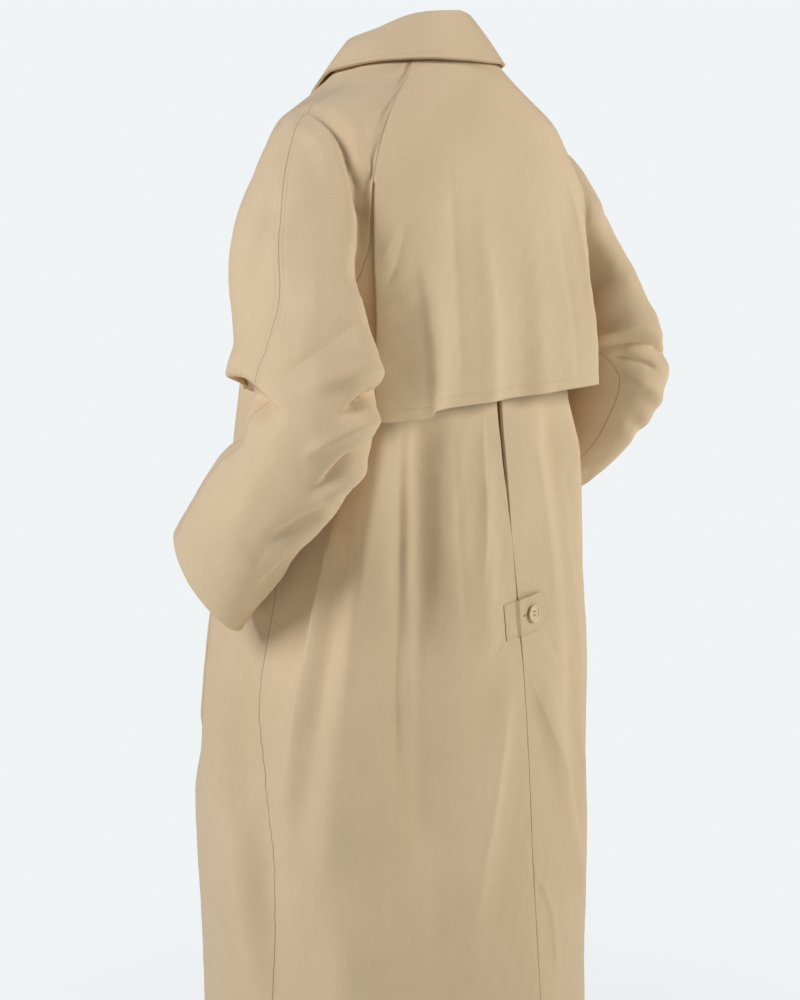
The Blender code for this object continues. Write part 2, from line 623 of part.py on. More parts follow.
def button(name, point, normal):
    """A four-hole button: a dished disc with a raised rim, its back on the point."""
    rim = BUTTON_RADIUS
    profile = ((0.0, 0.0), (rim - 0.0010, 0.0), (rim, 0.0009), (rim, 0.0019),
               (rim - 0.0006, BUTTON_THICKNESS), (rim - BUTTON_RIM, BUTTON_THICKNESS),
               (rim - BUTTON_RIM - 0.0012, BUTTON_THICKNESS - 0.0009),
               (0.0, BUTTON_THICKNESS - 0.0009))
    sides = 24
    verts, faces = [(0.0, 0.0, profile[0][1])], []
    for radius, height in profile[1:-1]:
        for k in range(sides):
            turn = 2.0 * math.pi * k / sides
            verts.append((radius * math.cos(turn), radius * math.sin(turn), height))
    verts.append((0.0, 0.0, profile[-1][1]))
    rings = len(profile) - 2
    for k in range(sides):
        n = (k + 1) % sides
        faces.append((0, 1 + n, 1 + k))
        for r in range(rings - 1):
            a, b = 1 + r * sides, 1 + (r + 1) * sides
            faces.append((a + k, a + n, b + n, b + k))
        last = 1 + (rings - 1) * sides
        faces.append((last + k, last + n, len(verts) - 1))
    disc = new_object(name, verts, faces, BUTTON_COLOUR, 0.4)
    turn = Vector(normal).to_track_quat("Z", "Y").to_matrix().to_4x4()
    place = Matrix.Translation(Vector(point)) @ turn
    cut_verts, cut_faces = [], []
    for across, along in ((1, 1), (-1, 1), (-1, -1), (1, -1)):
        first = len(cut_verts)
        for height in (-0.002, 0.006):
            for k in range(8):
                angle = math.pi * k / 4.0
                cut_verts.append((across * HOLE_OFFSET + HOLE_RADIUS * math.cos(angle),
                                  along * HOLE_OFFSET + HOLE_RADIUS * math.sin(angle), height))
        cut_faces.append([first + 7 - k for k in range(8)])
        cut_faces.append([first + 8 + k for k in range(8)])
        for k in range(8):
            n = (k + 1) % 8
            cut_faces.append((first + k, first + n, first + 8 + n, first + 8 + k))
    cutter = new_object(name + "_holes", cut_verts, cut_faces, BUTTON_COLOUR)
    disc.data.transform(place)
    cutter.data.transform(place)
    cutter.hide_render = True
    cutter.display_type = "WIRE"
    holes = disc.modifiers.new("holes", "BOOLEAN")
    holes.operation = "DIFFERENCE"
    holes.solver = "EXACT"
    holes.object = cutter
    return disc


def welt(name, side):
    rows = np.linspace(WELT_LINE[0][0], WELT_LINE[-1][0], 9)[:, None]
    middle = column(WELT_LINE, WELT_COLUMNS, "angle", rows)
    across = np.linspace(-1.0, 1.0, 4)[None, :]
    half = np.degrees(WELT_HALF_WIDTH / 0.205)
    angle = middle + half * across
    z = rows + across * WELT_HALF_WIDTH * 0.35
    off = DOUBLE_CLOTH + LAYER_GAP + 0.0002
    points = body_point(side * angle, z, off)
    return wall(name, points, body_normal(side * angle, z), DOUBLE_CLOTH)


def main():
    for obj in list(bpy.data.objects):
        bpy.data.objects.remove(obj, do_unlink=True)
    for name, side in (("left", 1.0), ("right", -1.0)):
        back_panel("back_" + name, side)
        front_panel("front_" + name, side)
        sleeve_half("sleeve_back_" + name, side, True)
        sleeve_half("sleeve_front_" + name, side, False)
        welt("pocket_welt_" + name, side)
    cape()
    underlay()
    collar_stand()
    collar()
    tab()
    spot, facing = back_spot(BUTTON_X, TAB_Z, tab_rise(BUTTON_X) + LAYER_GAP)
    button("tab_button", spot, facing)
    front_z = -0.104
    rise = CLOTH + 3.5 * LAYER_GAP
    button("front_button", body_point(180.0, front_z, rise), body_normal(180.0, front_z))


main()
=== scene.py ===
# A long raglan coat in pale gabardine, hollow and hanging as worn, with its cuffs at the pockets.
# Each cloth piece is a thin wall on the same rings and seams as its solid, drawn finely enough
# for its creases. Metres, +Z up; the coat's front faces -Y and its left side is +X.

import math

import bpy
import numpy as np
from mathutils import Matrix, Vector


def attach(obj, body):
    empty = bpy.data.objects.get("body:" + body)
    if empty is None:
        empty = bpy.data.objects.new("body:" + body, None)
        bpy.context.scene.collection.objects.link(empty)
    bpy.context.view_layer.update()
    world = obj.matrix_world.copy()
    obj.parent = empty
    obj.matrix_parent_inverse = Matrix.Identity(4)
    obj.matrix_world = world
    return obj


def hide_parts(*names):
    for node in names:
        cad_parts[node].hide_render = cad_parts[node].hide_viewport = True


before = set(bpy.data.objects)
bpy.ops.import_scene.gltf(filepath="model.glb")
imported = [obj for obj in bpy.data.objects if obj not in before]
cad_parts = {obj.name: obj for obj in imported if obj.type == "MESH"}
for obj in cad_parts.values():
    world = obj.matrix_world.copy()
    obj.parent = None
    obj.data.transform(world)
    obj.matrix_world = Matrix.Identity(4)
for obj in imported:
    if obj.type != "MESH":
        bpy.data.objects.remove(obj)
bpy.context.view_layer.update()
print("frame loaded:", len(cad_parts), "nodes")


# Shared curves

cloth = {
    "thickness": 0.0020,       # shell cloth
    "doubled": 0.0026,         # collar, tab and welts
    "seamGap": 0.0003,
    "layerGap": 0.0006,
    "hemZ": -1.18,
    "underarmZ": -0.27,
    "frontNeckDrop": 0.078,
    "usualRadius": 0.16,       # turns a short width on the back into an angle
}

body = {
    # z, half width, back, middle, front, squareness behind, squareness before
    "rings": (
        (0.010, 0.066, 0.056, 0.000, -0.060, 2.0, 2.0),
        (0.000, 0.072, 0.070, 0.000, -0.066, 2.0, 2.0),
        (-0.012, 0.080, 0.090, 0.000, -0.070, 2.0, 2.0),
        (-0.028, 0.094, 0.104, 0.000, -0.072, 2.1, 2.0),
        (-0.050, 0.133, 0.111, 0.000, -0.081, 2.4, 2.1),
        (-0.070, 0.169, 0.115, 0.000, -0.088, 2.7, 2.2),
        (-0.100, 0.191, 0.119, 0.000, -0.096, 3.1, 2.3),
        (-0.155, 0.206, 0.123, 0.000, -0.107, 4.0, 2.5),
        (-0.210, 0.206, 0.125, 0.000, -0.117, 4.4, 2.7),
        (-0.270, 0.187, 0.125, 0.000, -0.128, 4.2, 3.0),
        (-0.360, 0.185, 0.126, -0.003, -0.146, 4.0, 3.2),
        (-0.500, 0.189, 0.143, -0.010, -0.172, 4.0, 3.4),
        (-0.600, 0.202, 0.157, -0.015, -0.188, 3.4, 3.2),
        (-0.720, 0.234, 0.168, -0.020, -0.197, 2.6, 2.6),
        (-0.850, 0.241, 0.179, -0.020, -0.206, 2.4, 2.4),
        (-1.000, 0.238, 0.191, -0.020, -0.213, 2.2, 2.2),
        (-1.200, 0.235, 0.206, -0.020, -0.221, 2.1, 2.1),
    ),
    # angle, half width in degrees, height, top, foot, drift
    "folds": (
        (57.0, 6.0, 0.0110, -0.33, -0.90, 18.0),
        (67.0, 4.5, 0.0130, -0.43, -0.86, 28.0),
        (42.5, 7.0, -0.0130, -0.32, -0.92, -4.0),
        (13.0, 6.0, 0.0050, -0.38, -0.68, 25.0),
        (103.0, 6.0, 0.0120, -0.66, -1.25, -50.0),
        (84.0, 6.0, -0.0090, -0.76, -1.45, 4.0),
        (8.0, 6.0, 0.0060, -0.62, -1.05, 70.0),
        (62.0, 9.0, 0.0120, -0.84, -1.50, -6.0),
        (34.0, 8.0, -0.0090, -0.84, -1.50, 0.0),
        (128.0, 8.0, 0.0110, -0.74, -1.50, 4.0),
        (152.0, 9.0, -0.0090, -0.36, -1.50, -2.0),
        (-8.0, 6.0, 0.0070, -0.64, -1.05, -80.0),
        (-38.0, 8.0, -0.0120, -0.34, -0.95, 6.0),
        (-54.0, 6.0, 0.0120, -0.36, -0.95, -20.0),
        (-70.0, 5.0, 0.0110, -0.44, -0.86, -24.0),
        (-84.0, 6.0, -0.0090, -0.78, -1.45, -4.0),
        (-62.0, 9.0, 0.0120, -0.84, -1.50, 4.0),
        (-101.0, 6.0, 0.0110, -0.68, -1.25, 46.0),
        (-126.0, 8.0, 0.0100, -0.74, -1.50, -6.0),
        (-150.0, 9.0, -0.0090, -0.36, -1.50, 4.0),
    ),
    # z, back seam angle, front seam angle, where its thread crosses the shoulder
    "raglan": (
        (0.000, 46.0, 128.0, 24.0),
        (-0.025, 49.0, 128.0, 33.0),
        (-0.055, 54.5, 127.0, 46.0),
        (-0.090, 58.0, 125.0, 64.0),
        (-0.130, 59.7, 122.0, 85.0),
        (-0.170, 60.0, 119.5, 103.0),
        (-0.208, 61.0, 117.5, 119.0),
        (-0.245, 69.0, 109.0, 140.0),
        (-0.270, 90.0, 90.0, 180.0),
    ),
    "sideSeam": (
        (-0.270, 90.0), (-0.450, 90.0), (-0.570, 92.0), (-0.660, 91.0),
        (-0.740, 84.5), (-0.850, 83.0), (-1.180, 84.0),
    ),
    # Height, half width, lean, and the crease's line as angle and z.
    "creases": (
        (0.0056, 0.0062, 0.45,
         ((68.5, -0.458), (70.0, -0.516), (73.0, -0.580), (75.0, -0.648), (75.5, -0.748))),
        (0.0045, 0.0110, -0.4,
         ((55.5, -0.345), (57.0, -0.420), (59.5, -0.512), (61.0, -0.600), (62.5, -0.700))),
        (-0.0040, 0.0120, -0.4, ((64.0, -0.440), (65.5, -0.520), (67.5, -0.620), (69.0, -0.720))),
        (-0.0075, 0.0120, -0.35,
         ((50.5, -0.345), (50.0, -0.420), (49.5, -0.500), (49.0, -0.580), (48.5, -0.680), (47.0, -0.800))),
        (-0.0030, 0.0170, 0.0, ((43.5, -0.345), (42.5, -0.440), (41.5, -0.560), (40.5, -0.700))),
        (0.0028, 0.0070, 0.4,
         ((123.0, -0.670), (106.0, -0.734), (99.0, -0.816), (96.5, -0.872), (93.0, -0.920), (89.5, -1.016))),
        (0.0014, 0.0040, 0.3, ((115.0, -0.632), (109.0, -0.690), (104.0, -0.754))),
        (0.0012, 0.0040, 0.3, ((120.0, -0.640), (114.0, -0.700), (110.0, -0.770))),
        (-0.0022, 0.0080, 0.0, ((102.5, -0.616), (96.0, -0.650), (89.5, -0.678))),
        (0.0016, 0.0070, 0.2, ((-1.5, -0.652), (-12.0, -0.730), (-23.5, -0.814), (-32.0, -0.914))),
        (0.0020, 0.0080, 0.3, ((0.5, -0.878), (-8.5, -0.946), (-10.0, -1.034))),
        (0.0020, 0.0090, 0.0, ((10.5, -0.676), (18.0, -0.784), (24.0, -0.862))),
        (0.0014, 0.0050, 0.0, ((11.0, -0.356), (15.5, -0.434), (17.0, -0.500), (21.0, -0.570))),
        (-0.0012, 0.0060, 0.0, ((30.0, -0.370), (29.0, -0.500), (27.0, -0.620))),
        (0.0012, 0.0070, 0.0, ((35.0, -0.400), (37.0, -0.560), (41.0, -0.700))),
        (-0.0016, 0.0080, 0.0, ((52.0, -0.640), (50.0, -0.800), (48.0, -0.980))),
        (0.0016, 0.0080, 0.0, ((44.0, -0.760), (42.0, -0.900), (44.0, -1.080))),
        (0.0012, 0.0045, 0.0, ((8.0, -0.600), (14.0, -0.604), (22.0, -0.590))),
        (-0.0010, 0.0040, 0.0, ((9.0, -0.616), (16.0, -0.630), (24.0, -0.640))),
        (0.0010, 0.0040, 0.0, ((-15.0, -0.604), (-22.0, -0.612), (-30.0, -0.606))),
        (-0.0012, 0.0050, 0.0, ((-14.0, -0.620), (-20.0, -0.650), (-28.0, -0.676))),
        (0.0028, 0.0070, -0.4,
         ((-121.0, -0.680), (-106.0, -0.744), (-98.0, -0.830), (-94.0, -0.930), (-90.0, -1.020))),
        (0.0030, 0.0060, -0.4, ((-69.0, -0.450), (-71.0, -0.540), (-74.0, -0.640), (-75.0, -0.740))),
        (0.0014, 0.0045, -0.3, ((-114.0, -0.640), (-108.0, -0.700), (-103.0, -0.760))),
        (0.0018, 0.0090, 0.0, ((-24.0, -0.380), (-25.0, -0.500), (-22.0, -0.640))),
        (-0.0020, 0.0090, 0.0, ((-46.0, -0.420), (-46.0, -0.560), (-50.0, -0.720))),
        (0.0020, 0.0090, 0.0, ((-40.0, -0.720), (-46.0, -0.860), (-44.0, -1.060))),
        (0.0016, 0.0090, 0.0, ((150.0, -0.300), (146.0, -0.460), (140.0, -0.600))),
        (-0.0016, 0.0090, 0.0, ((-140.0, -0.300), (-142.0, -0.460), (-136.0, -0.600))),
        (0.0020, 0.0080, 0.3, ((126.0, -0.240), (134.0, -0.290), (146.0, -0.330))),
        (0.0018, 0.0080, -0.3, ((-124.0, -0.235), (-134.0, -0.280), (-148.0, -0.315))),
        (0.0020, 0.0100, 0.0, ((166.0, -0.560), (163.0, -0.760), (165.0, -1.060))),
        (-0.0018, 0.0100, 0.0, ((-168.0, -0.600), (-160.0, -0.820), (-163.0, -1.080))),
    ),
}


def smoothStep(x):
    # From 0 to 1 as 3 x squared less 2 x cubed, and flat outside.
    x = np.clip(x, 0.0, 1.0)
    return x * x * (3.0 - 2.0 * x)


def cubicBetween(t, spans, values, slopes, k):
    # From knot k to the next, a cubic that keeps both values and both slopes.
    return ((1 + 2 * t) * (1 - t) ** 2 * values[k] + t * (1 - t) ** 2 * spans[k] * slopes[k]
            + t * t * (3 - 2 * t) * values[k + 1] + t * t * (t - 1) * spans[k] * slopes[k + 1])


def knotSlopes(first, rises, spans):
    # A knot's slope is the mean of the rises beside it, each weighted by the other's width.
    inside = (rises[:-1] * spans[1:] + rises[1:] * spans[:-1]) / (spans[:-1] + spans[1:])
    return np.concatenate([first, inside, rises[-1:]])


def smoothCurve(knots, values, at):
    # Cubics from knot to knot, read at any places between the first and the last.
    order = np.argsort(knots)
    knots, values = np.asarray(knots, float)[order], np.asarray(values, float)[order]
    spans = np.diff(knots)
    rises = np.diff(values) / spans
    at = np.clip(at, knots[0], knots[-1])
    k = np.clip(np.searchsorted(knots, at) - 1, 0, len(spans) - 1)
    return cubicBetween((at - knots[k]) / spans[k], spans, values, knotSlopes(rises[:1], rises, spans), k)


def readTable(table, column, at):
    # One column of a table, against its first column.
    rows = np.array(table, float)
    return smoothCurve(rows[:, 0], rows[:, column], at)


def unit(vectors):
    # The same directions, each of length one.
    return vectors / np.linalg.norm(vectors, axis=-1, keepdims=True)


def sameShape(angle, z):
    # Angles and heights of any shapes, spread over one grid.
    return np.broadcast_arrays(np.asarray(angle, float), np.asarray(z, float))


def bodyFolds(angle, z):
    # Sum of soft ridges: height x fade in below the top x fade out at the foot x a bell across.
    total = np.zeros_like(z)
    for middle, halfWidth, height, top, foot, drift in body["folds"]:
        fade = smoothStep((top - z) / 0.09) * smoothStep((z - foot) / 0.14)
        middle = middle + drift * (top - z)
        total = total + height * fade * np.exp(-((angle - middle) / halfWidth) ** 2)
    return total


def plainBodyPoint(angle, z):
    # A ring at each height: radius = ((|sin|/width)^n + (|cos|/depth)^n)^(-1/n).
    angle, z = sameShape(angle, z)
    halfWidth, back, middle, front, squareBack, squareFront = (
        readTable(body["rings"], column, z) for column in range(1, 7))
    turn = np.radians(angle)
    behind = np.cos(turn) >= 0.0
    depth = np.where(behind, back - middle, middle - front)
    n = np.where(behind, squareBack, squareFront)
    radius = ((np.abs(np.sin(turn)) / halfWidth) ** n + (np.abs(np.cos(turn)) / depth) ** n) ** (-1.0 / n)
    return np.stack([radius * np.sin(turn), middle + radius * np.cos(turn), z], axis=-1)


def normalOf(surface, angle, z):
    # Across times down, from small steps to either side.
    across = surface(angle + 0.3, z) - surface(angle - 0.3, z)
    down = surface(angle, z - 0.0008) - surface(angle, z + 0.0008)
    return unit(np.cross(across, down))


def plainBodyNormal(angle, z):
    # Square to the plain rings.
    angle, z = sameShape(angle, z)
    return normalOf(plainBodyPoint, angle, z)


def bodyPoint(angle, z, off=0.0):
    # The plain ring's point, moved out along its normal by the folds and by off.
    angle, z = sameShape(angle, z)
    out = bodyFolds(angle, z) + off
    return plainBodyPoint(angle, z) + plainBodyNormal(angle, z) * out[..., None]


def bodyNormal(angle, z):
    # Square to the rings with their folds.
    angle, z = sameShape(angle, z)
    return normalOf(bodyPoint, angle, z)


def backReach(z):
    # How far the middle of the back lies from the axis.
    return np.linalg.norm(plainBodyPoint(0.0, z)[..., :2], axis=-1)


def seamAngle(z, column):
    # A raglan seam's angle at a height: column 1 behind, 2 before.
    return readTable(body["raglan"], column, np.maximum(z, cloth["underarmZ"]))


def sideAngle(z):
    # The side seam's angle below the underarm.
    return readTable(body["sideSeam"], 1, z)


def neckHeight(angle):
    # The neck seam is level round the back and falls towards the front.
    return -cloth["frontNeckDrop"] * smoothStep((np.abs(angle) - 128.0) / 52.0)


seamInset = np.degrees(cloth["seamGap"] * 0.6 / cloth["usualRadius"])


# Creases and walls

def roundedLine(points, count=26):
    # A smooth curve through the points, by distance along them.
    points = np.asarray(points, float)
    along = np.concatenate([[0.0], np.cumsum(np.linalg.norm(np.diff(points, axis=0), axis=1))])
    at = np.linspace(0.0, along[-1], count)
    return np.stack([smoothCurve(along, points[:, k], at) for k in range(3)], axis=-1)


def creaseHeight(points, normals, creases):
    # Each crease: height x a bell of the distance to its line, peaked where it is narrow, x a
    # fade at both ends. A lean makes one side of it steep and the other gentle.
    total = np.zeros(points.shape[:-1])
    for height, halfWidth, lean, line in creases:
        line = roundedLine(line)
        reach = 3.2 * halfWidth * (1.0 + abs(lean))
        low, high = line.min(axis=0) - reach, line.max(axis=0) + reach
        near = np.all((points > low) & (points < high), axis=-1)
        if not near.any():
            continue
        spot, facing = points[near], normals[near]
        best = np.full(len(spot), 1e9)
        share, side = np.zeros(len(spot)), np.zeros(len(spot))
        for k in range(len(line) - 1):
            step = line[k + 1] - line[k]
            t = np.clip(((spot - line[k]) @ step) / max(step @ step, 1e-12), 0.0, 1.0)
            away = spot - line[k] - t[:, None] * step
            distance = np.linalg.norm(away, axis=-1)
            closer = distance < best
            best = np.where(closer, distance, best)
            share = np.where(closer, (k + t) / (len(line) - 1), share)
            side = np.where(closer, np.sign(np.sum(np.cross(step, away) * facing, axis=-1)), side)
        fade = smoothStep(share / 0.28) * smoothStep((1.0 - share) / 0.28)
        width = halfWidth * (1.0 + lean * side) * (0.6 + 0.4 * fade)
        peak = 1.45 if halfWidth < 0.0100 else 2.0
        total[near] += height * fade * np.exp(-(best / width) ** peak)
    return total


def creaseLines(creases):
    # Each crease with its line's angles and heights made points of the plain rings.
    return [(h, w, lean, plainBodyPoint(*np.array(line).T)) for h, w, lean, line in creases]


def rumple(points, wavelength, seed, count=9):
    # Sum of sine waves in seeded directions, from about -1 to 1.
    random = np.random.default_rng(seed)
    total = np.zeros(points.shape[:-1])
    for _ in range(count):
        direction = random.normal(size=3)
        direction /= np.linalg.norm(direction)
        length = wavelength * random.uniform(0.7, 1.5)
        total += np.sin(points @ direction * (2 * math.pi / length) + random.uniform(0, 6.28))
    return total / math.sqrt(count) / 1.2


def unevenness(points, share, waves):
    # Height x share x the sum of sines, from a setting of height, wavelength and seed.
    height, wavelength, seed = waves
    return height * share * rumple(points, wavelength, seed)


def gridNormals(points):
    # Across times down, from each point's neighbours.
    normal = np.cross(np.gradient(points, axis=1), np.gradient(points, axis=0))
    return normal / np.maximum(np.linalg.norm(normal, axis=-1, keepdims=True), 1e-12)


def arcAlong(points, axis):
    # Distance along the cloth from its first edge.
    step = np.linalg.norm(np.diff(points, axis=axis), axis=-1)
    pad = [(1, 0), (0, 0)] if axis == 0 else [(0, 0), (1, 0)]
    return np.cumsum(np.pad(step, pad), axis=axis)


def closeEdges(count, pinch=0.115):
    # Steps from 0 to 1 that are closer together near both ends.
    t = np.linspace(0.0, 1.0, count)
    return t - pinch * np.sin(2 * math.pi * t)


def addObject(name, data):
    # An object at the origin that holds the data, put into the scene.
    obj = bpy.data.objects.new(name, data)
    bpy.context.scene.collection.objects.link(obj)
    return obj


def meshObject(name, verts, faces, uv=None, spot=None):
    # Faces of equal size, with a UV and named values for each point where they are given.
    mesh = bpy.data.meshes.new(name)
    mesh.vertices.add(len(verts))
    mesh.vertices.foreach_set("co", np.asarray(verts, np.float32).ravel())
    faces = np.asarray(faces, np.int32)
    mesh.loops.add(faces.size)
    mesh.loops.foreach_set("vertex_index", faces.ravel())
    mesh.polygons.add(len(faces))
    mesh.polygons.foreach_set("loop_start", np.arange(0, faces.size, faces.shape[1], dtype=np.int32))
    mesh.update(calc_edges=True)
    if uv is not None:
        layer = mesh.uv_layers.new(name="cloth")
        layer.data.foreach_set("uv", np.asarray(uv, np.float32)[faces.ravel()].ravel())
    if spot is not None:
        for key, values in spot.items():
            mesh.attributes.new(key, "FLOAT", "POINT").data.foreach_set("value", values.astype(np.float32))
    mesh.shade_smooth()
    mesh.set_sharp_from_angle(angle=math.radians(50.0))
    return addObject(name, mesh)


def rimOf(index):
    # Every index once round the grid's four edges.
    return np.concatenate([index[0, :], index[1:, -1], index[-1, -2::-1], index[-2:0:-1, 0]])


def twoTriangles(index):
    # Each cell of the grid, cut from its first corner to its third.
    a, b, c, d = index[:-1, :-1], index[:-1, 1:], index[1:, 1:], index[1:, :-1]
    return np.concatenate([np.stack(corners, axis=-1).reshape(-1, 3) for corners in ((a, b, c), (a, c, d))])


def wallFaces(rows, columns):
    # The outer grid, the inner one with every other row and column, and a strip round the rim.
    fine = np.arange(rows * columns).reshape(rows, columns)
    coarse = rows * columns + np.arange(fine[::2, ::2].size).reshape(fine[::2, ::2].shape)
    ring, inner = rimOf(fine), rimOf(coarse)
    start, between, end = ring[0::2], ring[1::2], np.roll(ring, -2)[0::2]
    innerEnd = np.roll(inner, -1)
    rim = [np.stack(corners, axis=-1)
           for corners in ((start, inner, between), (between, inner, innerEnd), (between, innerEnd, end))]
    return np.concatenate([twoTriangles(fine), twoTriangles(coarse)[:, ::-1], *rim])


def stitchMarks(across, down, stitches):
    # At each point: the gap to the nearest row of stitches, the way along it, the gap to the rim.
    edgeGap = {"top": down, "bottom": down[-1][None, :] - down,
               "left": across - across[:, :1], "right": across[:, -1:] - across}
    run = {"top": across, "bottom": across, "left": down, "right": down}
    line, along = np.ones_like(down), np.zeros_like(down)
    for edge, distance in stitches:
        gap = np.abs(edgeGap[edge] - distance)
        closer = gap < line
        line, along = np.where(closer, gap, line), np.where(closer, run[edge], along)
    return {"stitchGap": line, "stitchRun": along, "rimGap": np.minimum.reduce(list(edgeGap.values()))}


def clothPiece(name, node, points, facing, thickness, stitches, material):
    # A closed wall: the outer grid, and a coarser one moved in by the thickness. The UV is metres
    # across and down. stitches lists the edges that carry a row of stitches, and how far in it runs.
    rows, columns = points.shape[:2]
    normals = gridNormals(points)
    if np.mean(np.sum(normals * facing, axis=-1)) < 0.0:
        normals = -normals
    inner = (points - normals * thickness)[::2, ::2]
    faces = wallFaces(rows, columns)
    mid = (rows // 2, columns // 2)
    turn = np.cross(points[mid[0], mid[1] + 1] - points[mid], points[mid[0] + 1, mid[1]] - points[mid])
    if np.dot(turn, normals[mid]) < 0.0:
        faces = faces[:, ::-1]
    across, down = arcAlong(points, 1), arcAlong(points, 0)
    across = across - across[:, columns // 2][:, None]

    def onBoth(grid):
        # The outer grid's values, then those of the inner one.
        return np.concatenate([grid.ravel(), grid[::2, ::2].ravel()])

    marks = stitchMarks(across, down, stitches)
    obj = meshObject(name, np.concatenate([points.reshape(-1, 3), inner.reshape(-1, 3)]), faces,
                     np.stack([onBoth(across), -onBoth(down)], axis=-1),
                     {key: onBoth(values) for key, values in marks.items()})
    quads = 0.5 * np.linalg.norm(np.cross(points[1:, 1:] - points[:-1, :-1],
                                          points[1:, :-1] - points[:-1, 1:]), axis=-1)
    obj.data.materials.append(material)
    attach(obj, "root")
    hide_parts(node)
    return obj


# Materials

class Wire:
    # One socket of a shader, so that sums on values can be written as Python.
    def __init__(self, tree, socket):
        self.tree, self.socket = tree, socket

    def math(self, operation, other=None, flip=False):
        # One Math node; flip puts the other value first.
        node = self.tree.nodes.new("ShaderNodeMath")
        node.operation = operation
        for k, value in enumerate((other, self) if flip else (self, other)):
            plug(self.tree, node.inputs[k], value)
        return Wire(self.tree, node.outputs[0])

    def __add__(self, other):
        return self.math("ADD", other)

    def __radd__(self, other):
        return self.math("ADD", other, True)

    def __sub__(self, other):
        return self.math("SUBTRACT", other)

    def __rsub__(self, other):
        return self.math("SUBTRACT", other, True)

    def __mul__(self, other):
        return self.math("MULTIPLY", other)

    def __rmul__(self, other):
        return self.math("MULTIPLY", other, True)

    def __truediv__(self, other):
        return self.math("DIVIDE", other)

    def within(self, low, high):
        # 1 at low and below, down to 0 at high and above.
        node = self.tree.nodes.new("ShaderNodeMapRange")
        node.interpolation_type = "SMOOTHSTEP"
        values = {"Value": self, "From Min": low, "From Max": high, "To Min": 1.0, "To Max": 0.0}
        for key, value in values.items():
            plug(self.tree, node.inputs[key], value)
        return Wire(self.tree, node.outputs[0])


def plug(tree, socket, value):
    # A wire is linked, and a number or a colour is set.
    if isinstance(value, Wire):
        tree.links.new(value.socket, socket)
    elif value is not None:
        socket.default_value = value


class Finish:
    # A node material: node() adds any node from its type, its settings and its sockets.
    def __init__(self, name):
        self.material = bpy.data.materials.new(name)
        self.material.use_nodes = True
        self.tree = self.material.node_tree
        self.shader = self.tree.nodes["Principled BSDF"]

    def node(self, kind, settings=(), output=0, **sockets):
        # A socket is given by its name, or by its number after an underscore.
        node = self.tree.nodes.new("ShaderNode" + kind)
        for key, value in dict(settings).items():
            setattr(node, key, value)
        for key, value in sockets.items():
            plug(self.tree, node.inputs[int(key[1:]) if key[0] == "_" else key.replace("_", " ")], value)
        return Wire(self.tree, node.outputs[output])

    def mix(self, factor, first, second):
        # The first colour at 0, the second at 1.
        node = self.tree.nodes.new("ShaderNodeMix")
        node.data_type = "RGBA"
        for k, value in ((0, factor), (6, first), (7, second)):
            plug(self.tree, node.inputs[k], (*value, 1.0) if isinstance(value, tuple) else value)
        return Wire(self.tree, node.outputs[2])

    def feed(self, **sockets):
        # Values and wires for the shader's own sockets.
        for key, value in sockets.items():
            plug(self.tree, self.shader.inputs[key.replace("_", " ")], value)
        return self.material


def scaled(colour, factor):
    # A colour made lighter or darker, no channel past 1.
    return tuple(min(1.0, x * factor) for x in colour)


gabardine = {
    "colour": (0.665, 0.492, 0.296),
    "shade": (0.610, 0.441, 0.254),      # where the yarns are a little denser
    "light": (0.720, 0.545, 0.338),
    "thread": (0.600, 0.455, 0.285),
    "twillPitch": 0.0006,
    "stitchLength": 0.0030,
    "roughness": 0.80,
}


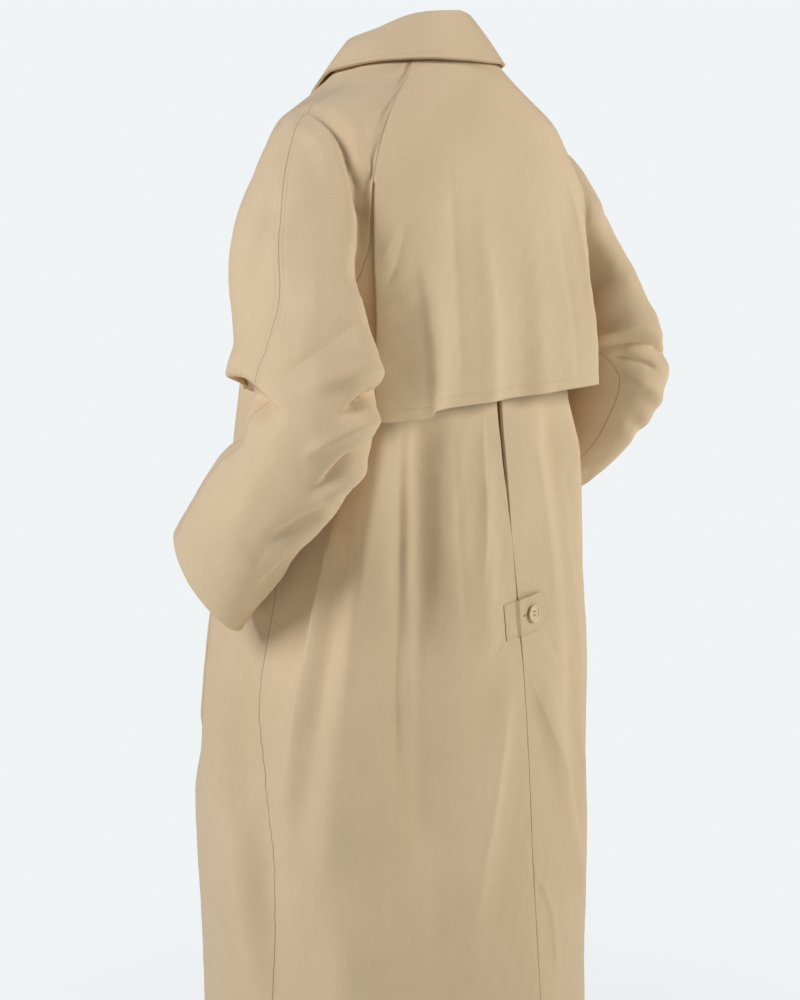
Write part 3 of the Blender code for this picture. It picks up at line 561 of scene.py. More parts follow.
def gabardineMaterial(name, shadeTint=1.0):
    # Twill is a wave across a steep slant of the UV; yarn streaks are noise drawn out along
    # the warp; a stitch is a short bar where the gap to its line is small. The colour is also
    # darkened as painted shade in the stitch furrows and near each piece's rim, and a tint
    # below 1 darkens the whole cloth as painted shade.
    f = Finish(name)
    uv = f.node("UVMap", {"uv_map": "cloth"})
    split = f.tree.nodes.new("ShaderNodeSeparateXYZ")
    f.tree.links.new(uv.socket, split.inputs[0])
    u, v = Wire(f.tree, split.outputs[0]), Wire(f.tree, split.outputs[1])
    twill = ((u * 0.89 + v * 0.45) * (2 * math.pi / gabardine["twillPitch"])).math("SINE")
    warp = f.node("CombineXYZ", X=u * 900.0, Y=v * 28.0)
    streak = f.node("TexNoise", Vector=warp, Scale=1.0, Detail=2.0)
    weft = f.node("CombineXYZ", X=u * 60.0, Y=v * 1000.0)
    cross = f.node("TexNoise", Vector=weft, Scale=1.0, Detail=2.0)
    place = f.node("TexCoord", output=3)
    cloud = f.node("TexNoise", Vector=place, Scale=9.0, Detail=3.0, Roughness=0.55)
    grain = f.node("TexNoise", Vector=place, Scale=420.0, Detail=3.0, Roughness=0.7)
    stitchGap, stitchRun, rimGap = (f.node("Attribute", {"attribute_name": key}, output=2)
                                    for key in ("stitchGap", "stitchRun", "rimGap"))
    dash = ((stitchRun / gabardine["stitchLength"]).math("FRACT") - 0.5).math("ABSOLUTE").within(0.34, 0.42)
    stitch = stitchGap.within(0.00022, 0.00040) * dash
    furrow = stitchGap.within(0.0, 0.0016)
    gather = f.node("CombineXYZ", X=stitchRun * 110.0, Y=stitchGap * 90.0)
    pucker = f.node("TexNoise", Vector=gather, Scale=1.0, Detail=1.0)
    tone = ((streak - 0.5) * 0.6 + (cross - 0.5) * 0.5 + (cloud - 0.5) * 0.8 + (grain - 0.5) * 0.7
            + twill * 0.03 + 0.5)
    colour = f.mix(tone, scaled(gabardine["shade"], shadeTint), scaled(gabardine["light"], shadeTint))
    # Painted shade: the colour darkens along each row of stitches, in its furrow.
    colour = f.mix(furrow * 0.07, colour, scaled(gabardine["colour"], 0.62))
    # Painted shade: the colour darkens within 1.4 mm of the rim, where the pieces meet and lap over each
    # other.
    colour = f.mix(rimGap.within(0.0002, 0.0014) * 0.22, colour, scaled(gabardine["colour"], 0.55))
    colour = f.mix(stitch * 0.65, colour, gabardine["thread"])
    height = (twill * 0.10 + (streak - 0.5) * 0.55 + (cross - 0.5) * 0.30 + (grain - 0.5) * 0.25
              - furrow * 2.2 + stitch * 1.6 - rimGap.within(0.0, 0.0016) * 2.4
              + (pucker - 0.5) * stitchGap.within(0.001, 0.010) * 5.0)
    bump = f.node("Bump", Strength=0.55, Distance=0.00016, Height=height)
    return f.feed(Base_Color=colour, Roughness=gabardine["roughness"] + (grain - 0.5) * 0.08 - stitch * 0.12,
                  Normal=bump, Specular_IOR_Level=0.28, Sheen_Weight=0.12, Sheen_Roughness=0.5)


shellCloth = gabardineMaterial("paleGabardine")
# The pleat underlay is the same gabardine, its colours darkened to 0.92 as painted shade for its place inside
# the slit.
shadedPleatCloth = gabardineMaterial("pleatGabardineShaded", 0.92)
print("cloth material made")


# Back and front panels

panels = {
    "rowsAbove": 94,
    "rowsBelow": 268,
    "backColumns": 156,
    "frontColumns": 81,
    "overlap": 0.034,
    "tabZ": -0.598,
    "pleatOpening": 0.0031,    # half the slit's extra width between the cape and the tab
    "foldRise": 0.0028,        # how far the pleat's left fold stands over the right one
    "edgeTurn": 0.0016,        # the pleat's rolled edge: how far it starts from the slit
    "edgeRoll": (0.0034, 0.0014),   # and how far it rolls inward and across
    "sideRadius": 0.22,
    "gather": 0.00040,         # height of the gathers along the side seams
    "sway": (0.0008, 0.075, 3),        # height, wavelength and seed of the cloth's unevenness
    "fineSway": (0.00022, 0.022, 4),
    "hemStitch": 0.030,
    "frontStitch": 0.007,
}


def panelHeights():
    # Even steps from the neck to the underarm, then even steps to the hem.
    above = np.linspace(0.0, cloth["underarmZ"], panels["rowsAbove"])
    t = np.linspace(0.0, 1.0, panels["rowsBelow"])[1:]
    below = cloth["underarmZ"] + (cloth["hemZ"] - cloth["underarmZ"]) * t
    return np.concatenate([above, below])


def pleatGap(z):
    # Half the slit: closed above, open under the cape, nearly closed again to the tab and below.
    under = smoothStep((-0.31 - z) / 0.06)
    opening = under * (1.0 - smoothStep((-0.42 - z) / 0.10))
    below = smoothStep((-0.60 - z) / 0.06)
    return cloth["seamGap"] / 2 + panels["pleatOpening"] * opening + 0.0005 * under + 0.0003 * below


def leftEdgeRise(angle, z):
    # The left fold stands proud of the right one, but lies flat where the tab presses on it.
    away = np.radians(angle) * cloth["usualRadius"]
    pressed = 1.0 - 0.85 * np.exp(-((z - panels["tabZ"]) / 0.040) ** 2)
    return panels["foldRise"] * pressed * smoothStep((-0.34 - z) / 0.08) * np.exp(-(away / 0.026) ** 2)


def seamPucker(angle, z):
    # Short uneven gathers along a side seam, from the pocket down and fading towards the hem: three
    # sines of the height, added, under a bell across the seam.
    away = np.radians(np.abs(angle) - sideAngle(z)) * panels["sideRadius"]
    wave = np.sin(z * 290.0 + np.sign(angle)) + 0.7 * np.sin(z * 173.0 + 2.0) + 0.5 * np.sin(z * 411.0)
    where = smoothStep((-0.60 - z) / 0.08) * (0.35 + 0.65 * smoothStep((z + 0.98) / 0.12))
    return panels["gather"] * wave * where * np.exp(-(away / 0.010) ** 2)


bodyLines = creaseLines(body["creases"])


def bodyDetail(angle, z):
    # How far the listed creases, gathers and a faint unevenness move the cloth outward.
    base, facing = plainBodyPoint(angle, z), plainBodyNormal(angle, z)
    low = smoothStep((-0.30 - z) / 0.12)
    return (creaseHeight(base, facing, bodyLines) + seamPucker(angle, z)
            + unevenness(base * (1.0, 1.0, 0.35), low, panels["sway"])
            + unevenness(base * (1.0, 1.0, 0.6), 0.4 + 0.6 * low, panels["fineSway"]))


def turnEdgeIn(points, normals, side, steps=5):
    # The pleat's edge rolls inward on a quarter ellipse, flat at the neck.
    across = np.array([-side, 0.0, 0.0])
    first, facing = points[:, :1], normals[:, :1]
    curl = smoothStep((-0.05 - points[:, :1, 2:]) / 0.08)
    inward, aside = panels["edgeRoll"]
    strips = [first - facing * inward * curl * (1 - math.cos(turn)) + across * aside * math.sin(turn)
              for turn in np.linspace(math.pi / 2, 0.0, steps + 1)[:-1]]
    return np.concatenate(strips + [points], axis=1), np.concatenate([facing] * steps + [normals], axis=1)


def backPanel(name, node, side):
    # From the pleat's slit round to the raglan seam, or below the underarm to the side seam.
    z = panelHeights()[:, None]
    edge = np.where(z >= cloth["underarmZ"], seamAngle(z, 1), sideAngle(z))
    start = np.degrees((pleatGap(z) + panels["edgeTurn"]) / backReach(z))
    angle = side * (start + (edge - seamInset - start) * closeEdges(panels["backColumns"])[None, :])
    z = np.broadcast_to(z, angle.shape).copy()
    points = bodyPoint(angle, z, max(side, 0.0) * leftEdgeRise(angle, z) + bodyDetail(angle, z))
    points, normals = turnEdgeIn(points, bodyNormal(angle, z), side)
    return clothPiece(name, node, points, normals, cloth["thickness"],
                      [("bottom", panels["hemStitch"])], shellCloth)


def frontPanel(name, node, side):
    # From the seams round past the middle by the overlap, with the top rows let down to the neck
    # seam. The right panel rises over the left one.
    rows = panelHeights()[:, None]
    edge = np.where(rows >= cloth["underarmZ"], seamAngle(rows, 2), sideAngle(rows))
    reach = np.abs(plainBodyPoint(180.0, rows - cloth["frontNeckDrop"])[..., 1])
    past = np.degrees(np.arcsin(panels["overlap"] / reach))
    angle = edge + seamInset + (180.0 + past - edge - seamInset) * closeEdges(panels["frontColumns"])[None, :]
    fall = np.clip((rows - cloth["underarmZ"]) / -cloth["underarmZ"], 0.0, 1.0)
    spread = (angle - edge) / (180.0 - edge)
    z = rows + fall * neckHeight(128.0 + 52.0 * np.clip(spread, 0.0, 1.0))
    fromMiddle = np.radians(180.0 - angle) * reach
    over = smoothStep((panels["overlap"] + 0.035 - fromMiddle) / 0.032)
    rise = (cloth["thickness"] + 2.5 * cloth["layerGap"]) * over * (side < 0)
    calm = 1.0 - smoothStep((panels["overlap"] + 0.050 - fromMiddle) / 0.030)
    points = bodyPoint(side * angle, z, rise + bodyDetail(side * angle, z) * calm)
    return clothPiece(name, node, points, bodyNormal(side * angle, z), cloth["thickness"],
                      [("bottom", panels["hemStitch"]), ("right", panels["frontStitch"])],
                      shellCloth)


for sideName, side in (("Left", 1.0), ("Right", -1.0)):
    backPanel("clothBack" + sideName, "back_" + sideName.lower(), side)
    frontPanel("clothFront" + sideName, "front_" + sideName.lower(), side)
print("panels made")


# Storm cape

cape = {
    # z, off the back in the middle, at the left edge, at the right edge, edge angle
    "rings": (
        (0.000, 0.0034, 0.0032, 0.0032, 46.0),
        (-0.120, 0.0034, 0.0032, 0.0032, 59.5),
        (-0.155, 0.0035, 0.0034, 0.0035, 59.6),
        (-0.210, 0.0044, 0.0050, 0.0080, 60.0),
        (-0.270, 0.0090, 0.0130, 0.0240, 61.0),
        (-0.362, 0.0120, 0.0200, 0.0350, 60.5),
    ),
    "folds": ((45.0, 7.0, 0.010), (14.0, 9.0, 0.006), (-22.0, 8.0, 0.005), (-53.0, 5.0, 0.006)),
    "creases": (
        (0.0032, 0.0100, 0.40, ((48.5, -0.190), (47.0, -0.240), (45.5, -0.310), (44.5, -0.440))),
        (-0.0016, 0.0090, 0.0, ((36.0, -0.090), (33.0, -0.200), (31.0, -0.380))),
        (0.0012, 0.0120, 0.0, ((20.0, -0.140), (14.0, -0.250), (12.0, -0.380))),
        (0.0034, 0.0065, -0.3, ((-47.0, -0.100), (-51.0, -0.200), (-53.0, -0.300), (-53.5, -0.390))),
        (-0.0014, 0.0080, 0.0, ((-40.0, -0.150), (-43.0, -0.260), (-44.0, -0.380))),
        (0.0014, 0.0060, 0.0, ((52.0, -0.150), (55.0, -0.190), (58.0, -0.215))),
        (-0.0014, 0.0050, 0.0, ((51.0, -0.175), (54.0, -0.215), (57.5, -0.240))),
    ),
    "sway": (0.0007, 0.060, 11),
    "fineSway": (0.00020, 0.020, 12),
    "rows": 181,
    "columns": 201,
    "hemStitch": 0.012,
    "flapFrom": 44.5,          # the corner fold's angle
    "flapDrop": 0.008,         # how much lower the cape hangs left of its corner fold
}


def capeOff(t, z):
    # The distance in the middle, going over to an edge's own as t squared.
    middle, left, right = (readTable(cape["rings"], k, z) for k in (1, 2, 3))
    return middle + (np.where(t > 0.0, left, right) - middle) * t * t


def capeCloth():
    # The back's surface moved out by the cape's own distance, its ridges and its creases.
    hem = cape["rings"][-1][0]
    z = np.linspace(0.0, hem, cape["rows"])[:, None]
    edge = readTable(cape["rings"], 4, z)
    edge = np.where(z > -0.14, seamAngle(z, 1), np.minimum(edge, 59.4))
    t = (closeEdges(cape["columns"], 0.10) * 2.0 - 1.0)[None, :]
    angle = (edge - seamInset) * t
    z = z - cape["flapDrop"] * smoothStep((angle - cape["flapFrom"]) / 1.6) * smoothStep((-0.27 - z) / 0.09)
    off = capeOff(t, np.maximum(z, hem))
    for middle, width, height in cape["folds"]:
        off = off + height * np.exp(-((angle - middle) / width) ** 2) * smoothStep((-0.12 - z) / 0.2)
    base, facing = plainBodyPoint(angle, z), plainBodyNormal(angle, z)
    free = smoothStep((-0.06 - z) / 0.14)
    sewn = smoothStep((1.0 - np.abs(t)) / 0.05) * (1 - free) + free
    off = off + creaseHeight(base, facing, creaseLines(cape["creases"])) * sewn
    off = off + unevenness(base * (1.0, 1.0, 0.3), free, cape["sway"])
    off = off + unevenness(base, free, cape["fineSway"])
    return clothPiece("clothCape", "cape", bodyPoint(angle, z, off), bodyNormal(angle, z), cloth["thickness"],
                      [("bottom", cape["hemStitch"])], shellCloth)


capeCloth()

underlay = {
    "top": -0.335,
    "halfWidth": 0.050,
    "behind": 0.0016,          # off the back panels at its sides
    "sag": 0.0036,             # and how much further in between
    "rows": 121,
    "columns": 25,
}


def pleatUnderlay():
    # A strip inside the slit, pressed to the panels at its sides and hollow as 1 - t^4 between.
    z = np.linspace(underlay["top"], cloth["hemZ"] + 0.004, underlay["rows"])[:, None]
    t = np.linspace(-1.0, 1.0, underlay["columns"])[None, :]
    angle = np.degrees(underlay["halfWidth"] * t / backReach(z))
    z = np.broadcast_to(z, angle.shape)
    off = -(cloth["thickness"] + underlay["behind"] + underlay["sag"] * (1.0 - t ** 4))
    return clothPiece("clothPleatUnderlay", "pleat_underlay", bodyPoint(angle, z, off), bodyNormal(angle, z),
                      cloth["thickness"],
                      [("bottom", panels["hemStitch"])], shadedPleatCloth)


pleatUnderlay()
print("cape and pleat made")


# Sleeves

sleeve = {
    # middle, heading, outward, reach out, in, behind, before, turn of the overarm seam
    "sections": (
        ((0.193, 0.014, -0.168), (1.0, 0.0, 0.1), (-0.1, 0.0, 1.0), 0.098, 0.099, 0.088, 0.062, 5.0),
        ((0.242, 0.044, -0.222), (0.78, 0.2, -0.59), (0.6, 0.0, 0.8), 0.048, 0.058, 0.076, 0.057, 17.0),
        ((0.252, 0.070, -0.270), (0.19, 0.39, -0.90), (0.96, 0.0, 0.28), 0.046, 0.050, 0.068, 0.066, 16.0),
        ((0.257, 0.094, -0.312), (0.16, 0.28, -0.95), (0.98, 0.0, 0.2), 0.051, 0.054, 0.065, 0.094, -8.0),
        ((0.262, 0.106, -0.348), (0.05, -0.15, -0.98), (1.0, 0.0, 0.1), 0.056, 0.052, 0.062, 0.072, -29.0),
        ((0.261, 0.085, -0.393), (0.0, -0.50, -0.86), (1.0, 0.0, 0.0), 0.056, 0.050, 0.064, 0.056, -37.0),
        ((0.258, 0.042, -0.437), (-0.06, -0.70, -0.70), (1.0, 0.0, 0.0), 0.054, 0.048, 0.063, 0.063, -46.0),
        ((0.253, -0.001, -0.478), (-0.08, -0.72, -0.69), (1.0, 0.0, 0.0), 0.051, 0.046, 0.062, 0.066, -48.0),
        ((0.246, -0.042, -0.517), (0.02, -0.80, -0.59), (1.0, 0.0, -0.1), 0.044, 0.040, 0.063, 0.064, -52.0),
        ((0.240, -0.074, -0.546), (0.26, -0.82, -0.60), (1.0, 0.0, -0.2), 0.037, 0.034, 0.066, 0.064, -55.0),
    ),
    "seamHeights": (0.0, -0.016, -0.038, -0.066, -0.098, -0.130,
                    -0.162, -0.192, -0.219, -0.242, -0.260, -0.27),
    "neckSteps": 2,
    "rowsASection": (2, 2, 2, 2, 2, 2, 2, 2, 2, 1, 2),
    "rows": 281,
    "backColumns": 151,
    "frontColumns": 91,
    "fuller": 0.16,            # share by which the left sleeve is wider behind near its top
    "pinch": 0.08,
    "crookRow": 12.0,
    "crookFold": 0.0022,
    "swayLeft": (0.0008, 0.070, 22),
    "swayRight": (0.0008, 0.070, 20),
    "fineSway": (0.00022, 0.021, 23),
    "cuffStitch": 0.028,
    "seamStitch": 0.0045,
    # Height, half width, lean, and the crease's line: row, and share across from the overarm seam,
    # which is above 0 on the back half and below 0 on the front half.
    "creasesLeft": (
        (-0.0120, 0.0100, 0.3,
         ((3.9, -0.12), (3.9, 0.08), (4.0, 0.25), (4.1, 0.38), (4.1, 0.46), (3.7, 0.56), (3.0, 0.68))),
        (0.0045, 0.0120, 0.0,
         ((4.3, -0.06), (4.4, 0.21), (4.8, 0.34), (5.1, 0.43), (5.2, 0.52), (4.4, 0.66))),
        (-0.0045, 0.0048, 0.0, ((4.0, 0.41), (3.5, 0.46), (3.0, 0.53), (2.4, 0.60))),
        (0.0025, 0.0060, 0.0, ((3.6, 0.38), (3.0, 0.44), (2.5, 0.50))),
        (-0.0200, 0.0110, -0.35,
         ((9.2, -0.66), (9.6, -0.46), (10.3, -0.28), (11.1, -0.12),
          (11.7, 0.02), (11.9, 0.14), (11.9, 0.26))),
        (0.0022, 0.0120, 0.0, ((8.4, -0.40), (9.2, -0.20), (10.0, -0.04), (10.8, 0.16))),
        (-0.0110, 0.0060, 0.4, ((10.9, 0.92), (11.0, 0.76), (11.1, 0.66), (11.4, 0.56), (11.8, 0.46))),
        (0.0050, 0.0100, 0.0, ((10.3, 0.90), (10.5, 0.70), (10.6, 0.52), (10.9, 0.34), (11.2, 0.20))),
        (0.0060, 0.0085, 0.0, ((11.8, 0.92), (11.9, 0.74), (12.1, 0.58), (12.6, 0.46), (13.2, 0.38))),
        (-0.0080, 0.0070, 0.4, ((12.5, 0.94), (12.6, 0.76), (12.9, 0.64), (13.4, 0.56), (14.0, 0.50))),
        (0.0060, 0.0100, 0.0, ((13.2, 0.94), (13.5, 0.76), (13.8, 0.62), (14.4, 0.54))),
        (-0.0090, 0.0100, 0.3, ((14.0, 0.94), (14.4, 0.78), (14.8, 0.66), (15.6, 0.58), (16.4, 0.54))),
        (0.0030, 0.0160, 0.0, ((11.9, 0.24), (13.9, 0.25), (16.1, 0.34), (18.0, 0.42))),
        (-0.0060, 0.0110, 0.3, ((16.2, 0.90), (16.9, 0.79), (17.7, 0.76), (18.4, 0.66))),
        (0.0030, 0.0090, 0.0, ((17.6, 0.92), (18.2, 0.84), (19.2, 0.74))),
        (-0.0022, 0.0120, 0.0, ((5.2, -0.04), (6.1, -0.06), (7.2, -0.15), (7.8, -0.30))),
        (0.0030, 0.0160, 0.0, ((5.2, 0.28), (6.4, 0.28), (8.5, 0.21), (9.8, 0.18))),
        (-0.0030, 0.0090, 0.3, ((8.8, 0.48), (9.4, 0.36), (10.0, 0.25), (10.9, 0.12))),
        (-0.0025, 0.0110, 0.0, ((5.6, 0.52), (6.8, 0.46), (8.2, 0.44))),
        (0.0020, 0.0080, 0.0, ((14.6, 0.10), (16.0, 0.16), (17.6, 0.16))),
        (-0.0020, 0.0070, 0.0, ((15.2, 0.50), (16.6, 0.56), (18.0, 0.60))),
    ),
    "creasesRight": (
        (-0.0100, 0.0075, 0.4,
         ((10.3, 1.00), (10.4, 0.88), (10.6, 0.74), (10.9, 0.58), (11.3, 0.44), (11.6, 0.32))),
        (0.0060, 0.0090, 0.0, ((9.8, 1.00), (9.9, 0.86), (10.0, 0.72), (10.4, 0.56), (10.8, 0.42))),
        (-0.0050, 0.0055, 0.3, ((10.9, 1.00), (11.1, 0.88), (11.5, 0.76), (11.9, 0.66))),
        (0.0050, 0.0100, 0.0, ((12.0, 1.00), (12.4, 0.80), (12.9, 0.62), (13.4, 0.44))),
        (-0.0050, 0.0110, 0.0, ((13.4, 0.96), (13.8, 0.76), (14.4, 0.60), (15.2, 0.46))),
        (0.0030, 0.0160, 0.0, ((2.4, 0.46), (4.4, 0.52), (6.7, 0.50), (9.4, 0.50))),
        (-0.0016, 0.0140, 0.0, ((3.4, 0.66), (5.4, 0.64), (7.6, 0.62))),
        (-0.0180, 0.0110, -0.35,
         ((9.3, -0.62), (9.8, -0.42), (10.6, -0.22), (11.5, 0.02), (11.7, 0.14), (11.7, 0.24))),
        (0.0025, 0.0120, 0.0, ((8.6, -0.38), (9.4, -0.20), (10.0, -0.04), (10.6, 0.14))),
        (-0.0050, 0.0085, 0.3, ((3.6, 0.06), (3.9, 0.24), (4.2, 0.40), (3.9, 0.52), (3.2, 0.64))),
        (0.0035, 0.0120, 0.0, ((4.4, -0.06), (4.6, 0.22), (5.0, 0.38), (4.8, 0.54))),
        (-0.0055, 0.0120, 0.3, ((16.0, 0.94), (16.6, 0.80), (17.4, 0.70), (18.4, 0.62))),
        (0.0028, 0.0150, 0.0, ((12.4, 0.24), (14.6, 0.26), (17.0, 0.36))),
    ),
}


def sleeveColumns(count):
    # Along the neck edge first, then down the raglan seam, by the column numbers of the solid.
    steps, heights = sleeve["neckSteps"], np.array(sleeve["seamHeights"])
    last = steps + len(heights) - 1
    column = closeEdges(count, sleeve["pinch"]) * last
    onNeck = column < steps
    down = smoothCurve(np.arange(len(heights)) + steps, heights, np.maximum(column, steps))
    z = np.where(onNeck, 0.0, down)
    share = np.clip(column / steps, 0.0, 1.0)
    even = 180.0 * column / last
    seam = [np.where(onNeck, 90.0 + (seamAngle(0.0, k) - 90.0) * share, seamAngle(z, k)) for k in (1, 2)]
    shoulder = np.where(onNeck, seamAngle(0.0, 3) * share, seamAngle(z, 3))
    return seam[0], seam[1], z, shoulder, even


def sectionRings(shoulder, even, backSide, fuller):
    # A lopsided ring about each middle: cos x reach out or in, sin x reach behind or before.
    # fuller widens the sleeve behind, most of all between the third and fourth rings.
    rings = []
    for k, (middle, heading, top, out, inner, back, front, turn) in enumerate(sleeve["sections"]):
        middle, heading, top = np.array(middle), np.array(heading), np.array(top)
        heading = heading / np.linalg.norm(heading)
        top = top - heading * np.dot(top, heading)
        top = top / np.linalg.norm(top)
        behind = np.cross(top, heading)
        around = even + (shoulder - even) * max(0.0, 1.0 - k / 3.0)
        around = np.radians(turn + around * (1.0 if backSide else -1.0))
        up = np.cos(around) * np.where(np.cos(around) > 0.0, out, inner)
        swell = 1.0 + fuller * math.exp(-((k - 2.4) / 1.6) ** 2)
        aside = np.sin(around) * np.where(np.sin(around) > 0.0, back * swell, front)
        rings.append(middle + up[:, None] * top + aside[:, None] * behind)
    return np.array(rings)


def sleeveSurface(backSide, fuller):
    # Threads from the neck and raglan seam through every ring, each a run of cubics.
    columns = sleeve["backColumns" if backSide else "frontColumns"]
    backAngle, frontAngle, z, shoulder, even = sleeveColumns(columns)
    angle = backAngle if backSide else frontAngle
    facing = plainBodyNormal(angle, z)
    lift = 0.0012 * smoothStep((z + 0.27) / 0.06) if backSide else 0.0 * z
    start = bodyPoint(angle, z, lift)
    rings = sectionRings(shoulder, even, backSide, fuller)
    under = smoothStep((-0.200 - z) / 0.050)[:, None]
    first = rings[0]
    firstAngle = np.degrees(np.arctan2(first[:, 0], first[:, 1]))
    halfWay = bodyPoint((angle + firstAngle) / 2.0, (z + first[:, 2]) / 2.0, lift / 2.0)
    halfWay = halfWay * (1.0 - under) + (start + first) / 2.0 * under
    chord = halfWay - start
    chord = unit(chord - facing * np.sum(chord * facing, axis=-1, keepdims=True) * (1.0 - under))
    facing = facing * (1.0 - under) + np.array([0.0, 0.0, -1.0]) * under
    facing = unit(facing - chord * np.sum(chord * facing, axis=-1, keepdims=True))
    start = start + chord * cloth["seamGap"] * 0.6
    rings = np.concatenate([start[None], halfWay[None], rings])
    spans = np.maximum(np.linalg.norm(np.diff(rings, axis=0), axis=-1, keepdims=True), 0.004)
    slopes = knotSlopes(chord[None], np.diff(rings, axis=0) / spans, spans)
    ends = np.concatenate([[0], np.cumsum(sleeve["rowsASection"])])
    row = np.linspace(0.0, ends[-1], sleeve["rows"])
    k = np.clip(np.searchsorted(ends, row, side="right") - 1, 0, len(ends) - 2)
    t = ((row - ends[k]) / (ends[k + 1] - ends[k]))[:, None, None]
    return cubicBetween(t, spans, rings, slopes, k), facing, row


def sleevePair(sideName, side, creases, fuller):
    # Both halves, so that a crease runs on from one to the other over their seam.
    surfaces = {backSide: sleeveSurface(backSide, fuller) for backSide in (True, False)}
    row = surfaces[True][2]

    def spotAt(atRow, share):
        # The nearest grid point to a row and a share across, on the half that its sign names.
        surface = surfaces[share > 0.0][0]
        spread = closeEdges(surface.shape[1], sleeve["pinch"])
        column = np.interp(abs(share), spread, np.arange(surface.shape[1]))
        return surface[int(round(atRow / row[-1] * (sleeve["rows"] - 1))), int(round(column))]

    lines = [(height, halfWidth, lean, [spotAt(*spot) for spot in line])
             for height, halfWidth, lean, line in creases]
    for backSide, half in ((True, "Back"), (False, "Front")):
        points, facing, _ = surfaces[backSide]
        other = surfaces[not backSide][0]
        whole = np.concatenate([other[:, 1:2], points, other[:, -2:-1]], axis=1)
        normals = gridNormals(whole)[:, 1:-1]
        if np.mean(np.sum(normals[0] * facing, axis=-1)) < 0.0:
            normals = -normals
        across = closeEdges(points.shape[1], sleeve["pinch"])[None, :]
        loose = smoothStep(row / 2.0)[:, None]
        crook = np.exp(-((row - sleeve["crookRow"]) / 3.5) ** 2)[:, None] * np.sin(math.pi * across) ** 2
        out = sleeve["crookFold"] * crook * np.cos(math.pi * row)[:, None]
        out = out + creaseHeight(points, normals, lines) * loose
        out = out + unevenness(points, loose, sleeve["sway" + sideName])
        out = out + unevenness(points, loose, sleeve["fineSway"])
        tangent = np.gradient(points, axis=1)
        tangent = tangent / np.maximum(np.linalg.norm(tangent, axis=-1, keepdims=True), 1e-9)
        points = points + normals * out[..., None]
        points[:, 0] += tangent[:, 0] * cloth["seamGap"] / 2
        points[:, -1] -= tangent[:, -1] * cloth["seamGap"] / 2
        mirror = np.array([side, 1.0, 1.0])
        clothPiece(f"clothSleeve{half}{sideName}", f"sleeve_{half.lower()}_{sideName.lower()}",
                   points * mirror, normals * mirror, cloth["thickness"],
                   [("bottom", sleeve["cuffStitch"]), ("left", sleeve["seamStitch"])], shellCloth)


sleevePair("Left", 1.0, sleeve["creasesLeft"], sleeve["fuller"])
sleevePair("Right", -1.0, sleeve["creasesRight"], 0.0)
print("sleeves made")


# Collar

collar = {
    # angle, fold's rise, fold's inset, edge angle, edge z, edge off the body
    "rings": (
        (0.0, 0.033, 0.008, 0.0, -0.021, 0.0095),
        (45.0, 0.028, 0.011, 45.0, -0.021, 0.0095),
        (90.0, 0.013, 0.009, 90.0, -0.025, 0.0088),
        (128.0, 0.008, 0.007, 127.0, -0.041, 0.0088),
        (155.0, 0.008, 0.006, 146.0, -0.082, 0.0100),
        (180.0, 0.011, 0.005, 157.0, -0.132, 0.0125),
    ),
    "roll": 0.0052,
    "hug": 0.0070,             # how much closer to the neck the fold lies at the sides
    "bulge": 0.0015,
    "sway": (0.0006, 0.060, 31),
    "columns": 231,
    "standRows": 17,
    "fallRows": 41,
    "standStitch": 0.002,
    "edgeStitch": 0.006,
}
upward = np.array([0.0, 0.0, 1.0])


def collarFrame(angle):
    # Round the neck: the seam, the fold above it, the fall's edge on the body, and the way outward.
    size = np.abs(angle)
    rise, inward, edgeAngle, edgeZ, edgeOff = (readTable(collar["rings"], k, size) for k in range(1, 6))
    seam = plainBodyPoint(angle, neckHeight(angle))
    outward = np.stack([np.sin(np.radians(angle)), np.cos(np.radians(angle)), 0 * angle], axis=-1)
    hug = collar["hug"] * np.exp(-((size - 85.0) / 50.0) ** 2)
    fold = seam - outward * (inward + hug)[..., None] + upward * rise[..., None]
    edge = bodyPoint(np.where(angle < 0.0, -1.0, 1.0) * edgeAngle, edgeZ, edgeOff)
    return seam, fold, edge, outward


def collarAngles():
    # Nearly once round, less a little at the front where the two ends meet.
    end = 180.0 - np.degrees(0.0012 / 0.095)
    return end * (2.0 * closeEdges(collar["columns"], 0.09) - 1.0)


def collarStand():
    # Straight from the fold down to the seam, hollowed a little by a half sine.
    angle = collarAngles()
    seam, fold, _, outward = collarFrame(angle)
    lift = cloth["seamGap"] + 0.0003 + 0.0006 * smoothStep((np.abs(angle) - 150.0) / 20.0)
    foot = seam + upward * lift[:, None] - outward * 0.0010
    head = fold + outward * cloth["doubled"] - upward * 0.0005
    points = np.array([foot + (head - foot) * t - outward * 0.0012 * math.sin(math.pi * t)
                       for t in np.linspace(1.0, 0.0, collar["standRows"])])
    return clothPiece("clothCollarStand", "collar_stand", points, np.broadcast_to(outward, points.shape),
                      cloth["doubled"],
                      [("bottom", collar["standStitch"])], shellCloth)


def collarFall():
    # Over the fold on an arc, then down to the outer edge with a slight bulge.
    angle = collarAngles()
    _, fold, edge, outward = collarFrame(angle)
    roll = collar["roll"]
    rows = [fold + outward * roll + (upward * math.sin(turn) - outward * math.cos(turn)) * roll
            for turn in np.radians(np.linspace(0.0, 130.0, 15))]
    start = rows[-1]
    for t in closeEdges(collar["fallRows"], 0.06)[1:]:
        bulge = collar["bulge"] * math.sin(math.pi * t) * (1.0 - 0.5 * t)
        rows.append(start + (edge - start) * t + (outward * 0.75 + upward * 0.65) * bulge)
    points = np.array(rows)
    normals = gridNormals(points)
    if np.mean(normals[14, :, 2]) < 0.0:
        normals = -normals
    loose = smoothStep((np.arange(len(rows)) - 10.0) / 20.0)[:, None]
    points = points + normals * unevenness(points, loose, collar["sway"])[..., None]
    return clothPiece("clothCollar", "collar", points, normals, cloth["doubled"],
                      [(side, collar["edgeStitch"]) for side in ("bottom", "left", "right")], shellCloth)


collarStand()
collarFall()
print("collar made")


# Tab, welts and buttons

